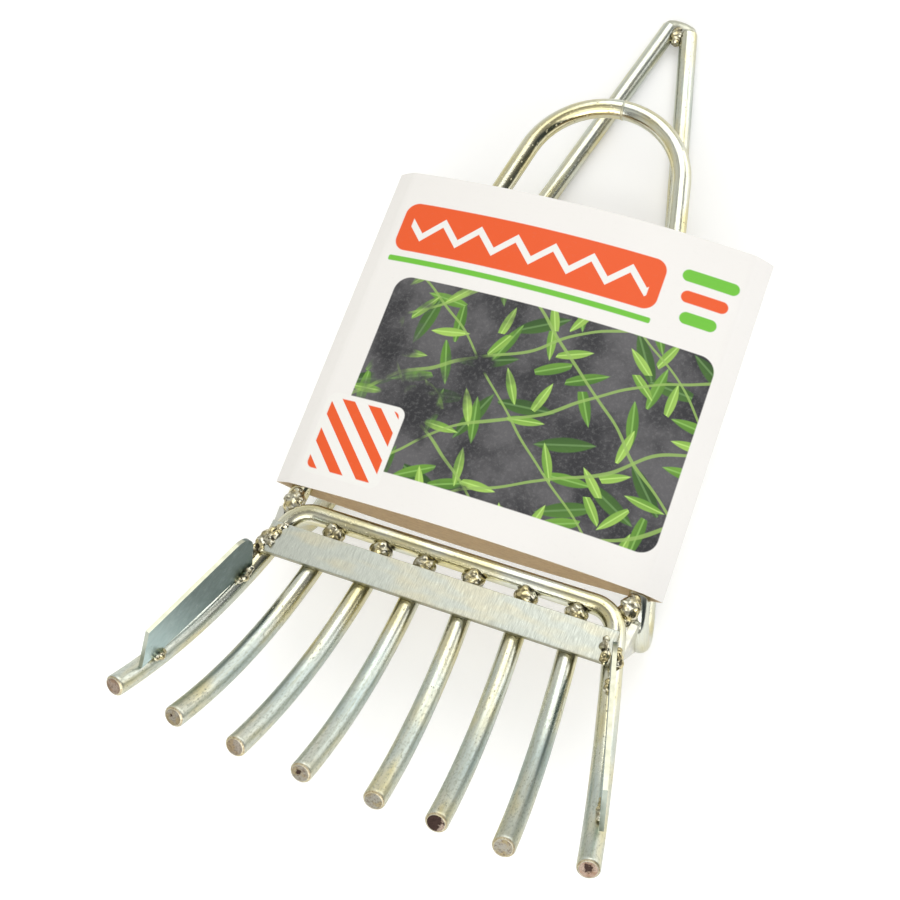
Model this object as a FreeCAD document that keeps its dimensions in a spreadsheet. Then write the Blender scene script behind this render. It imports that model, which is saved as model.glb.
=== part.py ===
import FreeCAD, Part
import Sketcher
import math
import os

# Hand rake of 6 mm round rod: a comb of eight curled tines on a cross rod, a flat
# strap and two low side plates on the tines, a hoop frame as a handle and a card
# sleeve around the two front legs.
# Units are millimetres.  +Z is up, +Y points from the tines toward the rear end of
# the frame, +X is to the right.  The pieces are laid out from the middle of the
# cross rod and moved at the end so that the origin is the middle of the footprint.

os.makedirs("parts", exist_ok=True)
doc = FreeCAD.newDocument("hand_rake")
V = FreeCAD.Vector

# ---------------------------------------------------------------- driving sizes
DIMS = [
    ("origin_x", "0.54"), ("origin_y", "68.71"), ("origin_z", "30.16"),
    ("wire_d", "6"), ("tip_chamfer", "0.7"), ("start_pitch", "1.02"),
    ("corner_bend", "8"), ("tine_root", "3.65"),
    ("base_xa", "-48.63"), ("base_xb", "-34.76"), ("base_xc", "-19.58"), ("base_xd", "-6.62"),
    ("base_xe", "7.80"), ("base_xf", "23.30"), ("base_xg", "38.21"), ("base_xh", "48.63"),
    ("fan_a", "-14.15"), ("fan_b", "-8.89"), ("fan_c", "-6.01"), ("fan_d", "-1.31"),
    ("fan_e", "2.92"), ("fan_f", "4.33"), ("fan_g", "6.56"), ("fan_h", "14.63"),
    ("curl_a", "104.2"), ("curl_b", "100.3"), ("curl_c", "103.3"), ("curl_d", "102.7"),
    ("curl_e", "106.9"), ("curl_f", "100.6"), ("curl_g", "98.2"), ("curl_h", "103.8"),
    ("run_a", "77.9"), ("run_b", "80.2"), ("run_c", "81.1"), ("run_d", "81.3"),
    ("run_e", "80.4"), ("run_f", "81.9"), ("run_g", "82.9"), ("run_h", "80.8"),
    ("strap_width", "10"), ("strap_thick", "2"), ("strap_length", "104.7"), ("strap_shift", "-0.25"), ("strap_run", "12.15"),
    ("strap_lift", "0.40"), ("strap_edge", "0.3"),
    ("plate_length_left", "45.9"), ("plate_length_right", "50.7"), ("plate_rear", "15.6"), ("plate_front", "13.2"), ("plate_thick", "1.2"),
    ("plate_run_left", "22.2"), ("plate_run_right", "17.4"), ("plate_round", "7"), ("plate_slant", "2.9"), ("plate_seat", "-0.04"),
    ("plate_lean_left", "-3.5"), ("plate_lean_right", "6"), ("plate_toe_left", "-1.2"), ("plate_toe_right", "1.7"),
    ("plate_side_left", "-0.3"), ("plate_side_right", "0.35"),
    ("leg_x", "54.24"), ("leg_slope", "0.2211"), ("leg_z", "-5.53"), ("leg_pitch", "3.2"),
    ("arch_run", "128.04"), ("arch_radius", "25.36"), ("butt_gap", "0.1"),
    ("rear_x", "52.72"), ("rear_y", "8.85"), ("rear_meet", "221.27"), ("rear_z", "-27.16"),
    ("hairpin_bend", "10.6"), ("hairpin_left", "-0.9"), ("hairpin_right", "-2.3"),
    ("rear_end_left", "208.8"), ("rear_end_right", "207.4"),
    ("sleeve_width", "120.2"), ("sleeve_length", "106.5"), ("sleeve_run", "7.4"),
    ("sleeve_rise", "9.8"), ("sleeve_card", "0.5"), ("shoulder_x", "54.8"), ("shoulder_z", "4.05"),
    ("sleeve_shift", "-0.8"), ("sleeve_lift", "0.15"),
    ("gusset_thick", "2"), ("gusset_reach", "14.2"), ("gusset_drop", "19.8"), ("gusset_x", "54.1"),
    ("gusset_toe", "6"),
    ("root_weld", "2.9"), ("end_weld", "1.75"), ("corner_weld", "3.5"), ("tack", "1.9"), ("apex_weld", "2.6"), ("apex_cap", "2.95"),
    ("butt_ring", "0.5"),
]
sheet = doc.addObject("Spreadsheet::Sheet", "dims")
for row, (alias, value) in enumerate(DIMS, start=1):
    sheet.set("A%d" % row, alias)
    sheet.set("B%d" % row, value)
    sheet.setAlias("B%d" % row, alias)
doc.recompute()


def D(alias):
    return float(getattr(sheet, alias))


SHIFT = FreeCAD.Placement(V(-D("origin_x"), -D("origin_y"), D("origin_z")), FreeCAD.Rotation())
RAD = math.pi / 180.0
NODES = []


def frame_of(origin, ax, ay, az):
    """Placement at origin whose local axes are the unit vectors ax, ay and az."""
    m = FreeCAD.Matrix(ax.x, ay.x, az.x, origin.x,
                       ax.y, ay.y, az.y, origin.y,
                       ax.z, ay.z, az.z, origin.z,
                       0, 0, 0, 1)
    return FreeCAD.Placement(m)


def unit(v):
    return v * (1.0 / v.Length)


def plane_of(body, role):
    for f in body.Origin.OriginFeatures:
        if f.Role == role:
            return f
    raise ValueError(role)


def node(obj, name):
    obj.Label = name
    NODES.append(obj)
    return obj


def new_body(name):
    body = doc.addObject("PartDesign::Body", "body_" + name)
    return body


def new_sketch(body, name, offset=None):
    sk = body.newObject("Sketcher::SketchObject", name)
    sk.AttachmentSupport = [(plane_of(body, "XY_Plane"), "")]
    sk.MapMode = "FlatFace"
    if offset is not None:
        sk.AttachmentOffset = offset
    return sk


def straight(body, name, start, end):
    """Round rod from start to end, padded from a circle across it."""
    az = unit(end - start)
    side = V(0, 0, 1) if abs(az.z) < 0.9 else V(1, 0, 0)
    ax = unit(side.cross(az))
    ay = az.cross(ax)
    sk = new_sketch(body, name + "_sketch", frame_of(start, ax, ay, az))
    sk.addGeometry(Part.Circle(V(0, 0, 0), V(0, 0, 1), D("wire_d") / 2), False)
    sk.addConstraint(Sketcher.Constraint("Coincident", 0, 3, -1, 1))
    i = sk.addConstraint(Sketcher.Constraint("Radius", 0, D("wire_d") / 2))
    sk.renameConstraint(i, "rod_radius")
    sk.setExpression("Constraints.rod_radius", "dims.wire_d / 2")
    pad = body.newObject("PartDesign::Pad", name)
    pad.Profile = sk
    pad.Length = (end - start).Length
    doc.recompute()
    return (end - start).Length


def bend(body, name, start, tangent, inward, radius, angle, radius_expr=None, angle_expr=None):
    """Round rod along a circular arc: start, direction of travel, direction to the
    arc's centre, bend radius and angle in degrees."""
    t, n = unit(tangent), unit(inward)
    centre = start + n * radius
    sk = new_sketch(body, name + "_sketch", frame_of(centre, n * -1, t.cross(n), t * -1))
    sk.addGeometry(Part.Circle(V(radius, 0, 0), V(0, 0, 1), D("wire_d") / 2), False)
    sk.addConstraint(Sketcher.Constraint("PointOnObject", 0, 3, -1))
    i = sk.addConstraint(Sketcher.Constraint("Radius", 0, D("wire_d") / 2))
    sk.renameConstraint(i, "rod_radius")
    sk.setExpression("Constraints.rod_radius", "dims.wire_d / 2")
    i = sk.addConstraint(Sketcher.Constraint("DistanceX", -1, 1, 0, 3, radius))
    sk.renameConstraint(i, "bend_radius")
    if radius_expr:
        sk.setExpression("Constraints.bend_radius", radius_expr)
    rev = body.newObject("PartDesign::Revolution", name)
    rev.Profile = sk
    rev.ReferenceAxis = (sk, ["V_Axis"])
    rev.Angle = angle
    if angle_expr:
        rev.setExpression("Angle", angle_expr)
    doc.recompute()
    return radius * angle * RAD


def corner_arc(p0, p1, p2, radius):
    """Tangent arc that rounds the corner p1 of the path p0, p1, p2."""
    a, b = unit(p1 - p0), unit(p2 - p1)
    turn = math.acos(max(-1.0, min(1.0, a.dot(b))))
    run = radius * math.tan(turn / 2)
    start = p1 - a * run
    end = p1 + b * run
    inward = unit(b - a * a.dot(b))
    return start, end, a, inward, turn / RAD


def check(body, length, points, name):
    """The rod's volume matches its path length and it reaches the given points."""
    doc.recompute()
    want = math.pi * (D("wire_d") / 2) ** 2 * length
    shape = body.Shape
    if abs(shape.Volume - want) > 0.012 * want:
        raise ValueError("%s volume %.1f, expected %.1f" % (name, shape.Volume, want))
    for p in points:
        world = body.Placement.multVec(p)
        gap = shape.distToShape(Part.Vertex(world))[0]
        if gap > 0.05 and not shape.isInside(world, 0.05, True):
            raise ValueError("%s misses a path point by %.3f" % (name, gap))


def tip_chamfer(body, name, points):
    """Small chamfer around the flat-cut end faces at the given points."""
    tip = body.Tip
    shape = tip.Shape
    edges = []
    for k, e in enumerate(shape.Edges, start=1):
        if hasattr(e.Curve, "Radius") and abs(e.Curve.Radius - D("wire_d") / 2) < 1e-3:
            for p in points:
                if (e.Curve.Center - p).Length < 0.05 and abs(e.Length - math.pi * D("wire_d")) < 0.2:
                    edges.append("Edge%d" % k)
    if not edges:
        raise ValueError(name + " end edge not found")
    ch = body.newObject("PartDesign::Chamfer", name)
    ch.Base = (tip, edges)
    ch.Size = D("tip_chamfer")
    ch.setExpression("Size", "dims.tip_chamfer")
    doc.recompute()


# ---------------------------------------------------------------- tine geometry
KEYS = "abcdefgh"


def tine(key, run, lift=0.0):
    """Point and unit tangent on a tine's centre line at the given run from the cross rod."""
    fan, radius = D("fan_" + key) * RAD, D("curl_" + key)
    a0 = D("start_pitch") * RAD
    a1 = a0 + run / radius
    out = radius * (math.sin(a1) - math.sin(a0))
    up = radius * (math.cos(a0) - math.cos(a1))
    p = V(D("base_x" + key) + out * math.sin(fan), -out * math.cos(fan), up + lift)
    t = V(math.cos(a1) * math.sin(fan), -math.cos(a1) * math.cos(fan), math.sin(a1))
    n = V(-math.sin(a1) * math.sin(fan), math.sin(a1) * math.cos(fan), math.cos(a1))
    return p, t, n


# ------------------------------------------------- comb rod: cross rod and outer tines
body = new_body("comb_rod")
ends = {}
arcs = {}
for key, side in (("a", -1), ("h", 1)):
    corner = V(D("base_x" + key), 0, 0)
    # the tine's direction just past the bend, raised so that it meets the cross rod's axis
    run0 = D("corner_bend") * math.tan((90 - abs(D("fan_" + key))) * RAD / 2)
    p, t, n = tine(key, run0)
    lift = -(p.z - run0 * t.z)
    out = corner + t * 30
    start, end, a, inward, turn = corner_arc(V(0, 0, 0), corner, out, D("corner_bend"))
    arcs[key] = (start, end, a, inward, turn, run0, lift)
total = straight(body, "cross_rod", arcs["a"][0], arcs["h"][0])
tips = []
for key in ("a", "h"):
    start, end, a, inward, turn, run0, lift = arcs[key]
    total += bend(body, "corner_" + key, start, a, inward, D("corner_bend"), turn, "dims.corner_bend")
    p, t, n = tine(key, run0)
    rest = D("run_" + key) - run0
    d_out = unit(V(D("base_x" + key), 0, 0) + t * 30 - V(D("base_x" + key), 0, 0))
    total += bend(body, "outer_tine_" + key, end, d_out, n, D("curl_" + key),
                  rest / D("curl_" + key) / RAD, "dims.curl_" + key)
    c = end + n * D("curl_" + key)
    w = rest / D("curl_" + key)
    tips.append(c - n * (D("curl_" + key) * math.cos(w)) + d_out * (D("curl_" + key) * math.sin(w)))
body.Placement = SHIFT
check(body, total, tips, "comb_rod")
tip_chamfer(body, "comb_tip_chamfer", tips)
node(body, "comb_rod")

# ------------------------------------------------------------------- inner tines
for number, key in enumerate("bcdefg", start=2):
    body = new_body("tine_%d" % number)
    p, t, n = tine(key, D("tine_root"))
    radius = D("curl_" + key)
    sk = new_sketch(body, "tine_section_%d" % number)
    sk.addGeometry(Part.Circle(V(radius, 0, 0), V(0, 0, 1), D("wire_d") / 2), False)
    sk.addConstraint(Sketcher.Constraint("PointOnObject", 0, 3, -1))
    i = sk.addConstraint(Sketcher.Constraint("Radius", 0, D("wire_d") / 2))
    sk.renameConstraint(i, "rod_radius")
    sk.setExpression("Constraints.rod_radius", "dims.wire_d / 2")
    i = sk.addConstraint(Sketcher.Constraint("DistanceX", -1, 1, 0, 3, radius))
    sk.renameConstraint(i, "curl_radius")
    sk.setExpression("Constraints.curl_radius", "dims.curl_" + key)
    rev = body.newObject("PartDesign::Revolution", "tine_curl_%d" % number)
    rev.Profile = sk
    rev.ReferenceAxis = (sk, ["V_Axis"])
    rev.setExpression("Angle", "(dims.run_%s - dims.tine_root) / dims.curl_%s * 180 / pi" % (key, key))
    doc.recompute()
    body.Placement = SHIFT.multiply(frame_of(p + n * radius, n * -1, t.cross(n), t * -1))
    w = (D("run_" + key) - D("tine_root")) / radius
    local_tip = V(radius * math.cos(w), 0, -radius * math.sin(w))
    check(body, D("run_" + key) - D("tine_root"), [local_tip], "inner_tine_%d" % number)
    tip_chamfer(body, "tine_tip_chamfer_%d" % number, [local_tip])
    node(body, "inner_tine_%d" % number)

# ------------------------------------------------------------------- cross strap
p, t, n = tine("d", D("strap_run"))
t = unit(V(0, t.y, t.z))
n = unit(V(0, n.y, n.z))
strap_c = V(D("strap_shift"), p.y, p.z) + n * (D("wire_d") / 2 + D("strap_lift"))
STRAP = frame_of(strap_c, V(1, 0, 0), t * -1, n)
body = new_body("cross_strap")
sk = new_sketch(body, "strap_outline")
hl, hw = D("strap_length") / 2, D("strap_width") / 2
pts = [V(-hl, -hw, 0), V(hl, -hw, 0), V(hl, hw, 0), V(-hl, hw, 0)]
for k in range(4):
    sk.addGeometry(Part.LineSegment(pts[k], pts[(k + 1) % 4]), False)
for k in range(4):
    sk.addConstraint(Sketcher.Constraint("Coincident", k, 2, (k + 1) % 4, 1))
sk.addConstraint(Sketcher.Constraint("Horizontal", 0))
sk.addConstraint(Sketcher.Constraint("Horizontal", 2))
sk.addConstraint(Sketcher.Constraint("Vertical", 1))
sk.addConstraint(Sketcher.Constraint("Vertical", 3))
sk.addConstraint(Sketcher.Constraint("Symmetric", 0, 1, 2, 1, -1, 1))
i = sk.addConstraint(Sketcher.Constraint("DistanceX", 0, 1, 0, 2, 2 * hl))
sk.renameConstraint(i, "length")
i = sk.addConstraint(Sketcher.Constraint("DistanceY", 1, 1, 1, 2, 2 * hw))
sk.renameConstraint(i, "width")
sk.setExpression("Constraints.length", "dims.strap_length")
sk.setExpression("Constraints.width", "dims.strap_width")
pad = body.newObject("PartDesign::Pad", "strap_bar")
pad.Profile = sk
pad.setExpression("Length", "dims.strap_thick")
doc.recompute()
edges = []
for k, e in enumerate(pad.Shape.Edges, start=1):
    if abs(e.Length - 2 * hl) < 0.01:
        edges.append("Edge%d" % k)
fil = body.newObject("PartDesign::Fillet", "strap_edges")
fil.Base = (pad, edges)
fil.setExpression("Radius", "dims.strap_edge")
doc.recompute()
body.Placement = SHIFT.multiply(STRAP)
node(body, "cross_strap")

# ------------------------------------------------------------------- side plates
PLATE = {}
for name, key, side in (("left", "a", -1), ("right", "h", 1)):
    lift = arcs[key][6]
    p0, t0, n0 = tine(key, D("plate_run_" + name), lift)
    # the front seat is where the chord of the wanted length meets the tine's top again
    run = D("plate_run_" + name) + D("plate_length_" + name) * 1.01
    for _ in range(20):
        p1, t1, n1 = tine(key, run, lift)
        a_pt = p0 + n0 * (D("wire_d") / 2 - D("plate_seat"))
        b_pt = p1 + n1 * (D("wire_d") / 2 - D("plate_seat"))
        run += D("plate_length_" + name) - (b_pt - a_pt).Length
    outward = unit(V(0, 0, 1).cross(t0)) * 1.0
    if outward.x * side < 0:
        outward = outward * -1
    a_pt = a_pt + outward * D("plate_side_" + name)
    b_pt = b_pt + outward * (D("plate_side_" + name) + D("plate_toe_" + name))
    ax = unit(b_pt - a_pt)
    up = unit(V(0, 0, 1) - ax * ax.z)
    outw = unit(up.cross(ax))
    if outw.x * side < 0:
        outw = outw * -1
    lean = D("plate_lean_" + name) * RAD
    ay = up * math.cos(lean) + outw * math.sin(lean)
    az = ax.cross(ay)
    PLATE[name] = (a_pt, b_pt, ax, ay, az, run)
    body = new_body("side_plate_" + name)
    sk = new_sketch(body, "plate_outline_" + name)
    length, h0, h1 = D("plate_length_" + name), D("plate_rear"), D("plate_front")
    pts = [V(0, 0, 0), V(length, 0, 0), V(length - D("plate_slant"), h1, 0), V(0.6, h0, 0)]
    for k in range(4):
        sk.addGeometry(Part.LineSegment(pts[k], pts[(k + 1) % 4]), False)
    for k in range(4):
        sk.addConstraint(Sketcher.Constraint("Coincident", k, 2, (k + 1) % 4, 1))
    sk.addConstraint(Sketcher.Constraint("Coincident", 0, 1, -1, 1))
    sk.addConstraint(Sketcher.Constraint("Horizontal", 0))
    for geo, pos, cx, cy, nm in ((0, 2, "dims.plate_length_" + name, None, "foot"),
                                 (1, 2, "dims.plate_length_" + name + " - dims.plate_slant", "dims.plate_front", "front_top"),
                                 (2, 2, None, "dims.plate_rear", "rear_top")):
        if cx:
            i = sk.addConstraint(Sketcher.Constraint("DistanceX", -1, 1, geo, pos, pts[geo + 1].x))
            sk.renameConstraint(i, nm + "_x")
            sk.setExpression("Constraints." + nm + "_x", cx)
        if cy:
            i = sk.addConstraint(Sketcher.Constraint("DistanceY", -1, 1, geo, pos, pts[geo + 1].y))
            sk.renameConstraint(i, nm + "_y")
            sk.setExpression("Constraints." + nm + "_y", cy)
    sk.addConstraint(Sketcher.Constraint("DistanceX", -1, 1, 2, 2, 0.6))
    pad = body.newObject("PartDesign::Pad", "plate_sheet_" + name)
    pad.Profile = sk
    pad.Midplane = True
    pad.setExpression("Length", "dims.plate_thick")
    doc.recompute()
    edges = []
    for k, e in enumerate(pad.Shape.Edges, start=1):
        c = e.CenterOfMass
        if abs(e.Length - D("plate_thick")) < 0.01 and abs(c.x - 0.6) < 0.01 and abs(c.y - h0) < 0.01:
            edges.append("Edge%d" % k)
    fil = body.newObject("PartDesign::Fillet", "plate_rear_round_" + name)
    fil.Base = (pad, edges)
    fil.setExpression("Radius", "dims.plate_round")
    doc.recompute()
    body.Placement = SHIFT.multiply(frame_of(a_pt, ax, ay, az))
    node(body, "side_plate_" + name)

# ------------------------------------------------------------------- frame wires
pitch = D("leg_pitch") * RAD
ES = V(0, math.cos(pitch), math.sin(pitch))
NZ = V(0, -math.sin(pitch), math.cos(pitch))


def leg_point(side, y):
    return V(side * (D("leg_x") - D("leg_slope") * y), y, D("leg_z") + math.tan(pitch) * y)


def rear_point(side, y):
    k = (y - D("rear_y")) / (D("rear_meet") - D("rear_y"))
    return V(side * D("rear_x") * (1 - k), y, D("rear_z"))


arch_c = V(0, 0, D("leg_z")) + ES * D("arch_run")
slope = D("leg_slope") * math.cos(pitch)
open_angle = math.atan(slope)
HAIRPIN = {}
for name, side in (("left", -1), ("right", 1)):
    front = D("hairpin_" + name)
    body = new_body("frame_wire_" + name)
    # half arch, from the seam at the top to the front leg
    gap = D("butt_gap") / D("arch_radius")
    seam = arch_c + V(side * math.sin(gap), 0, 0) * D("arch_radius") + ES * (D("arch_radius") * math.cos(gap))
    tang = V(side, 0, 0) * math.cos(gap) - ES * math.sin(gap)
    inward = unit(arch_c - seam)
    sweep = math.pi / 2 - open_angle - gap
    total = bend(body, "half_arch_" + name, seam, tang, inward, D("arch_radius"), sweep / RAD, "dims.arch_radius")
    leg_top = arch_c + V(side * math.cos(open_angle), 0, 0) * D("arch_radius") + ES * (D("arch_radius") * math.sin(open_angle))
    # front leg, hairpin and rear leg
    corner_a = leg_point(side, front)
    corner_b = rear_point(side, front)
    foot = rear_point(side, D("rear_end_" + name))
    r = D("hairpin_bend")
    s1, e1, a1, n1, w1 = corner_arc(leg_top, corner_a, corner_b, r)
    s2, e2, a2, n2, w2 = corner_arc(corner_a, corner_b, foot, r)
    total += straight(body, "front_leg_" + name, leg_top, s1)
    total += bend(body, "hairpin_top_" + name, s1, a1, n1, r, w1, "dims.hairpin_bend")
    total += straight(body, "hairpin_front_" + name, e1, s2)
    total += bend(body, "hairpin_foot_" + name, s2, a2, n2, r, w2, "dims.hairpin_bend")
    total += straight(body, "rear_leg_" + name, e2, foot)
    body.Placement = SHIFT
    check(body, total, [seam, leg_top, s1, e1, s2, e2, foot], "frame_wire_" + name)
    tip_chamfer(body, "rear_end_chamfer_" + name, [foot])
    node(body, "frame_wire_" + name)
    HAIRPIN[name] = (e1, s2, foot)

# ------------------------------------------------------- gussets under the outer tines
for name, side in (("left", -1), ("right", 1)):
    body = new_body("gusset_" + name)
    sk = new_sketch(body, "gusset_outline_" + name)
    y0 = D("hairpin_" + name)
    pts = [V(-D("gusset_reach"), 0.6, 0), V(y0 - 2.0, -D("gusset_drop"), 0), V(y0 - 1.3, -14.0, 0),
           V(y0 + 3.2, -6.4, 0), V(y0 + 0.6, -1.6, 0)]
    for k in range(5):
        sk.addGeometry(Part.LineSegment(pts[k], pts[(k + 1) % 5]), False)
    for k in range(5):
        sk.addConstraint(Sketcher.Constraint("Coincident", k, 2, (k + 1) % 5, 1))
    i = sk.addConstraint(Sketcher.Constraint("DistanceX", 0, 1, -1, 1, D("gusset_reach")))
    sk.renameConstraint(i, "reach")
    sk.setExpression("Constraints.reach", "dims.gusset_reach")
    i = sk.addConstraint(Sketcher.Constraint("DistanceY", 0, 2, -1, 1, D("gusset_drop")))
    sk.renameConstraint(i, "drop")
    sk.setExpression("Constraints.drop", "dims.gusset_drop")
    sk.addConstraint(Sketcher.Constraint("DistanceY", -1, 1, 0, 1, 0.6))
    for geo, p in ((1, pts[1]), (2, pts[2]), (3, pts[3]), (4, pts[4])):
        sk.addConstraint(Sketcher.Constraint("DistanceX", -1, 1, geo, 1, p.x))
        if geo > 1:
            sk.addConstraint(Sketcher.Constraint("DistanceY", -1, 1, geo, 1, p.y))
    pad = body.newObject("PartDesign::Pad", "gusset_sheet_" + name)
    pad.Profile = sk
    pad.Midplane = True
    pad.setExpression("Length", "dims.gusset_thick")
    doc.recompute()
    turn = D("gusset_toe") * RAD
    ax = V(side * math.sin(turn), math.cos(turn), 0)
    ay = V(0, 0, 1)
    az = ax.cross(ay)
    origin = V(side * (D("gusset_x") + math.sin(turn) * 3.0), 0, 0)
    body.Placement = SHIFT.multiply(frame_of(origin, ax, ay, az))
    node(body, "gusset_" + name)

# ------------------------------------------------------------------------- welds
def bead(name, middle, way, size, balls):
    """Weld bead as one solid of revolution: rounded lumps strung along a straight axis.
    balls holds (place along the axis, share of the sheet's size) for each lump."""
    way = unit(way)
    side = unit(way.cross(V(0, 0, 1) if abs(way.z) < 0.9 else V(1, 0, 0)))
    back = 20.0
    ys = [back + s for s, k in balls]
    rs = [D(size) * k for s, k in balls]
    cuts = [ys[0] - rs[0]]
    for i in range(len(balls) - 1):
        gap = ys[i + 1] - ys[i]
        if not abs(rs[i] - rs[i + 1]) < gap < rs[i] + rs[i + 1]:
            raise ValueError(name + " lumps do not cross")
        cuts.append((ys[i + 1] ** 2 - ys[i] ** 2 + rs[i] ** 2 - rs[i + 1] ** 2) / (2 * gap))
    cuts.append(ys[-1] + rs[-1])
    if any(cuts[i] >= cuts[i + 1] for i in range(len(cuts) - 1)):
        raise ValueError(name + " has a lump that is swallowed")
    body = new_body(name)
    sk = new_sketch(body, name + "_outline")
    want = 0.0
    last = len(balls) - 1
    for i, (y, r) in enumerate(zip(ys, rs)):
        lo, hi = cuts[i] - y, cuts[i + 1] - y
        a0 = -math.pi / 2 if i == 0 else math.asin(lo / r)
        a1 = math.pi / 2 if i == last else math.asin(hi / r)
        sk.addGeometry(Part.ArcOfCircle(Part.Circle(V(0, y, 0), V(0, 0, 1), r), a0, a1), False)
        want += math.pi * (r * r * (hi - lo) - (hi ** 3 - lo ** 3) / 3.0)
    sk.addGeometry(Part.LineSegment(V(0, cuts[-1], 0), V(0, cuts[0], 0)), False)
    for i in range(len(balls)):
        sk.addConstraint(Sketcher.Constraint("PointOnObject", i, 3, -2))
        sk.addConstraint(Sketcher.Constraint("DistanceY", -1, 1, i, 3, ys[i]))
        c = sk.addConstraint(Sketcher.Constraint("Radius", i, rs[i]))
        sk.renameConstraint(c, "lump_%d" % i)
        sk.setExpression("Constraints.lump_%d" % i, "dims.%s * %.3f" % (size, balls[i][1]))
        if i < last:
            sk.addConstraint(Sketcher.Constraint("Coincident", i, 2, i + 1, 1))
    sk.addConstraint(Sketcher.Constraint("PointOnObject", 0, 1, -2))
    sk.addConstraint(Sketcher.Constraint("PointOnObject", last, 2, -2))
    sk.addConstraint(Sketcher.Constraint("Coincident", last + 1, 1, last, 2))
    sk.addConstraint(Sketcher.Constraint("Coincident", last + 1, 2, 0, 1))
    rev = body.newObject("PartDesign::Revolution", name + "_turned")
    rev.Profile = sk
    rev.ReferenceAxis = (sk, ["V_Axis"])
    rev.Angle = 360
    doc.recompute()
    got = body.Shape.Volume
    if len(body.Shape.Solids) != 1 or abs(got - want) > 0.01 * want:
        raise ValueError("%s volume %.2f, expected %.2f" % (name, got, want))
    body.Placement = SHIFT.multiply(frame_of(middle - way * back, side, way, side.cross(way)))
    return body


# cross rod to inner tines, reaching the strap's rear edge
beads = []
wobble = [(0.3, 0.2, 1.0), (-0.4, 0.0, 0.95), (0.2, -0.3, 1.04), (-0.2, 0.3, 0.97), (0.5, 0.1, 1.03), (-0.3, -0.2, 0.96)]
for number, (key, (dx, dy, k)) in enumerate(zip("bcdefg", wobble), start=2):
    p, t, n = tine(key, 4.6)
    beads.append(bead("root_bead_%d" % number, p + V(dx * 0.5, dy - 0.2, 1.25), V(1, 0.1 * dx, 0), "root_weld", [
        (-1.95, 0.62), (-0.75, 0.95 * k), (0.85, 0.92 * k), (2.0, 0.6)]))
group = doc.addObject("Part::Compound", "tine_root_welds")
group.Links = beads
doc.recompute()
node(group, "tine_root_welds")

# strap ends on the outer tines: one bead on the strap, one along the rod beside its end
END_BEADS = {
    "left": ((12.6, -1.6, 5.1, [(-2.5, 0.72), (-0.7, 0.85), (1.5, 0.76)]),
             (15.5, 1.5, 3.2, [(-4.1, 0.84), (-2.0, 1.0), (0.3, 0.93), (2.5, 1.02), (4.3, 0.82)])),
    "right": ((13.6, -1.8, 5.2, [(-3.0, 0.84), (-1.0, 1.0), (1.2, 0.95), (3.0, 0.84)]),
              (14.8, 1.8, 3.3, [(-1.8, 0.74), (0.0, 0.92), (1.7, 0.92)]))}
for name, key, side in (("left", "a", -1), ("right", "h", 1)):
    pair = []
    for tag, (run, out, high, balls) in zip(("strap", "rod"), END_BEADS[name]):
        p, t, n = tine(key, run, arcs[key][6])
        aside = unit(t.cross(n))
        if aside.x * side < 0:
            aside = aside * -1
        pair.append(bead("strap_end_%s_%s" % (tag, name), p + n * high + aside * out, t, "end_weld", balls))
    group = doc.addObject("Part::Compound", "strap_end_weld_" + name)
    group.Links = pair
    doc.recompute()
    node(group, "strap_end_weld_" + name)

# comb corners on the front legs
for name, side in (("left", -1), ("right", 1)):
    b = bead("corner_weld_" + name, V(side * 51.5, 2.0, -2.1), V(side * 0.12, 1, 0), "corner_weld",
             [(-3.1, 0.68), (-1.2, 0.97), (1.0, 0.92), (2.9, 0.6)])
    node(b, "corner_weld_" + name)

# tacks near both ends of the side plates, on their inner sides only
TACKS = (("left", "rear", 4.2, 1.2, [(-2.7, 0.62), (-1.2, 0.82), (0.6, 0.86), (2.4, 0.70)]),
         ("left", "front", 6.7, 1.1, [(-1.4, 0.58), (0.1, 0.78), (1.5, 0.60)]),
         ("right", "rear", 6.2, 0.85, [(-1.1, 0.66), (0.7, 0.74)]),
         ("right", "front", 6.8, 0.55, [(-3.3, 0.52), (-1.8, 0.70), (0.0, 0.64), (1.7, 0.72), (3.1, 0.55)]))
beads = []
for name, tag, far, off, balls in TACKS:
    side = -1 if name == "left" else 1
    a_pt, b_pt, ax, ay, az, run = PLATE[name]
    at, fwd = (a_pt, ax) if tag == "rear" else (b_pt, ax * -1)
    inner = unit(V(-side, 0, 0) - ax * (V(-side, 0, 0).dot(ax)))
    middle = at + fwd * far + inner * off
    # halfway down to the rod where the plate's foot stands clear of it
    key, lift = ("a", arcs["a"][6]) if name == "left" else ("h", arcs["h"][6])
    best = min((tine(key, r * 0.25, lift) for r in range(60, 300)), key=lambda q: (q[0] - middle).Length)
    gap = (middle - best[0]).dot(best[2]) - D("wire_d") / 2
    beads.append(bead("tack_%s_%s" % (name, tag), middle - best[2] * max(0.0, gap * 0.5 + 0.1), best[1] * (1 if tag == "rear" else -1),
                      "tack", balls))
group = doc.addObject("Part::Compound", "plate_tack_welds")
group.Links = beads
doc.recompute()
node(group, "plate_tack_welds")

# where the rear legs meet: lumpy weld down into the V, and the melted round end across both rods
b = bead("apex_weld", V(0.1, 204.9, D("rear_z") + 0.45), V(0, 1, 0), "apex_weld",
         [(-1.4, 0.84), (0.3, 1.0), (1.9, 1.04)])
node(b, "apex_weld")
b = bead("apex_end_weld", V(0.1, 207.75, D("rear_z") + 0.05), V(1, -0.2, 0), "apex_cap",
         [(-2.9, 0.97), (-1.0, 1.0), (1.0, 1.0), (2.9, 0.96)])
node(b, "apex_end_weld")

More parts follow.
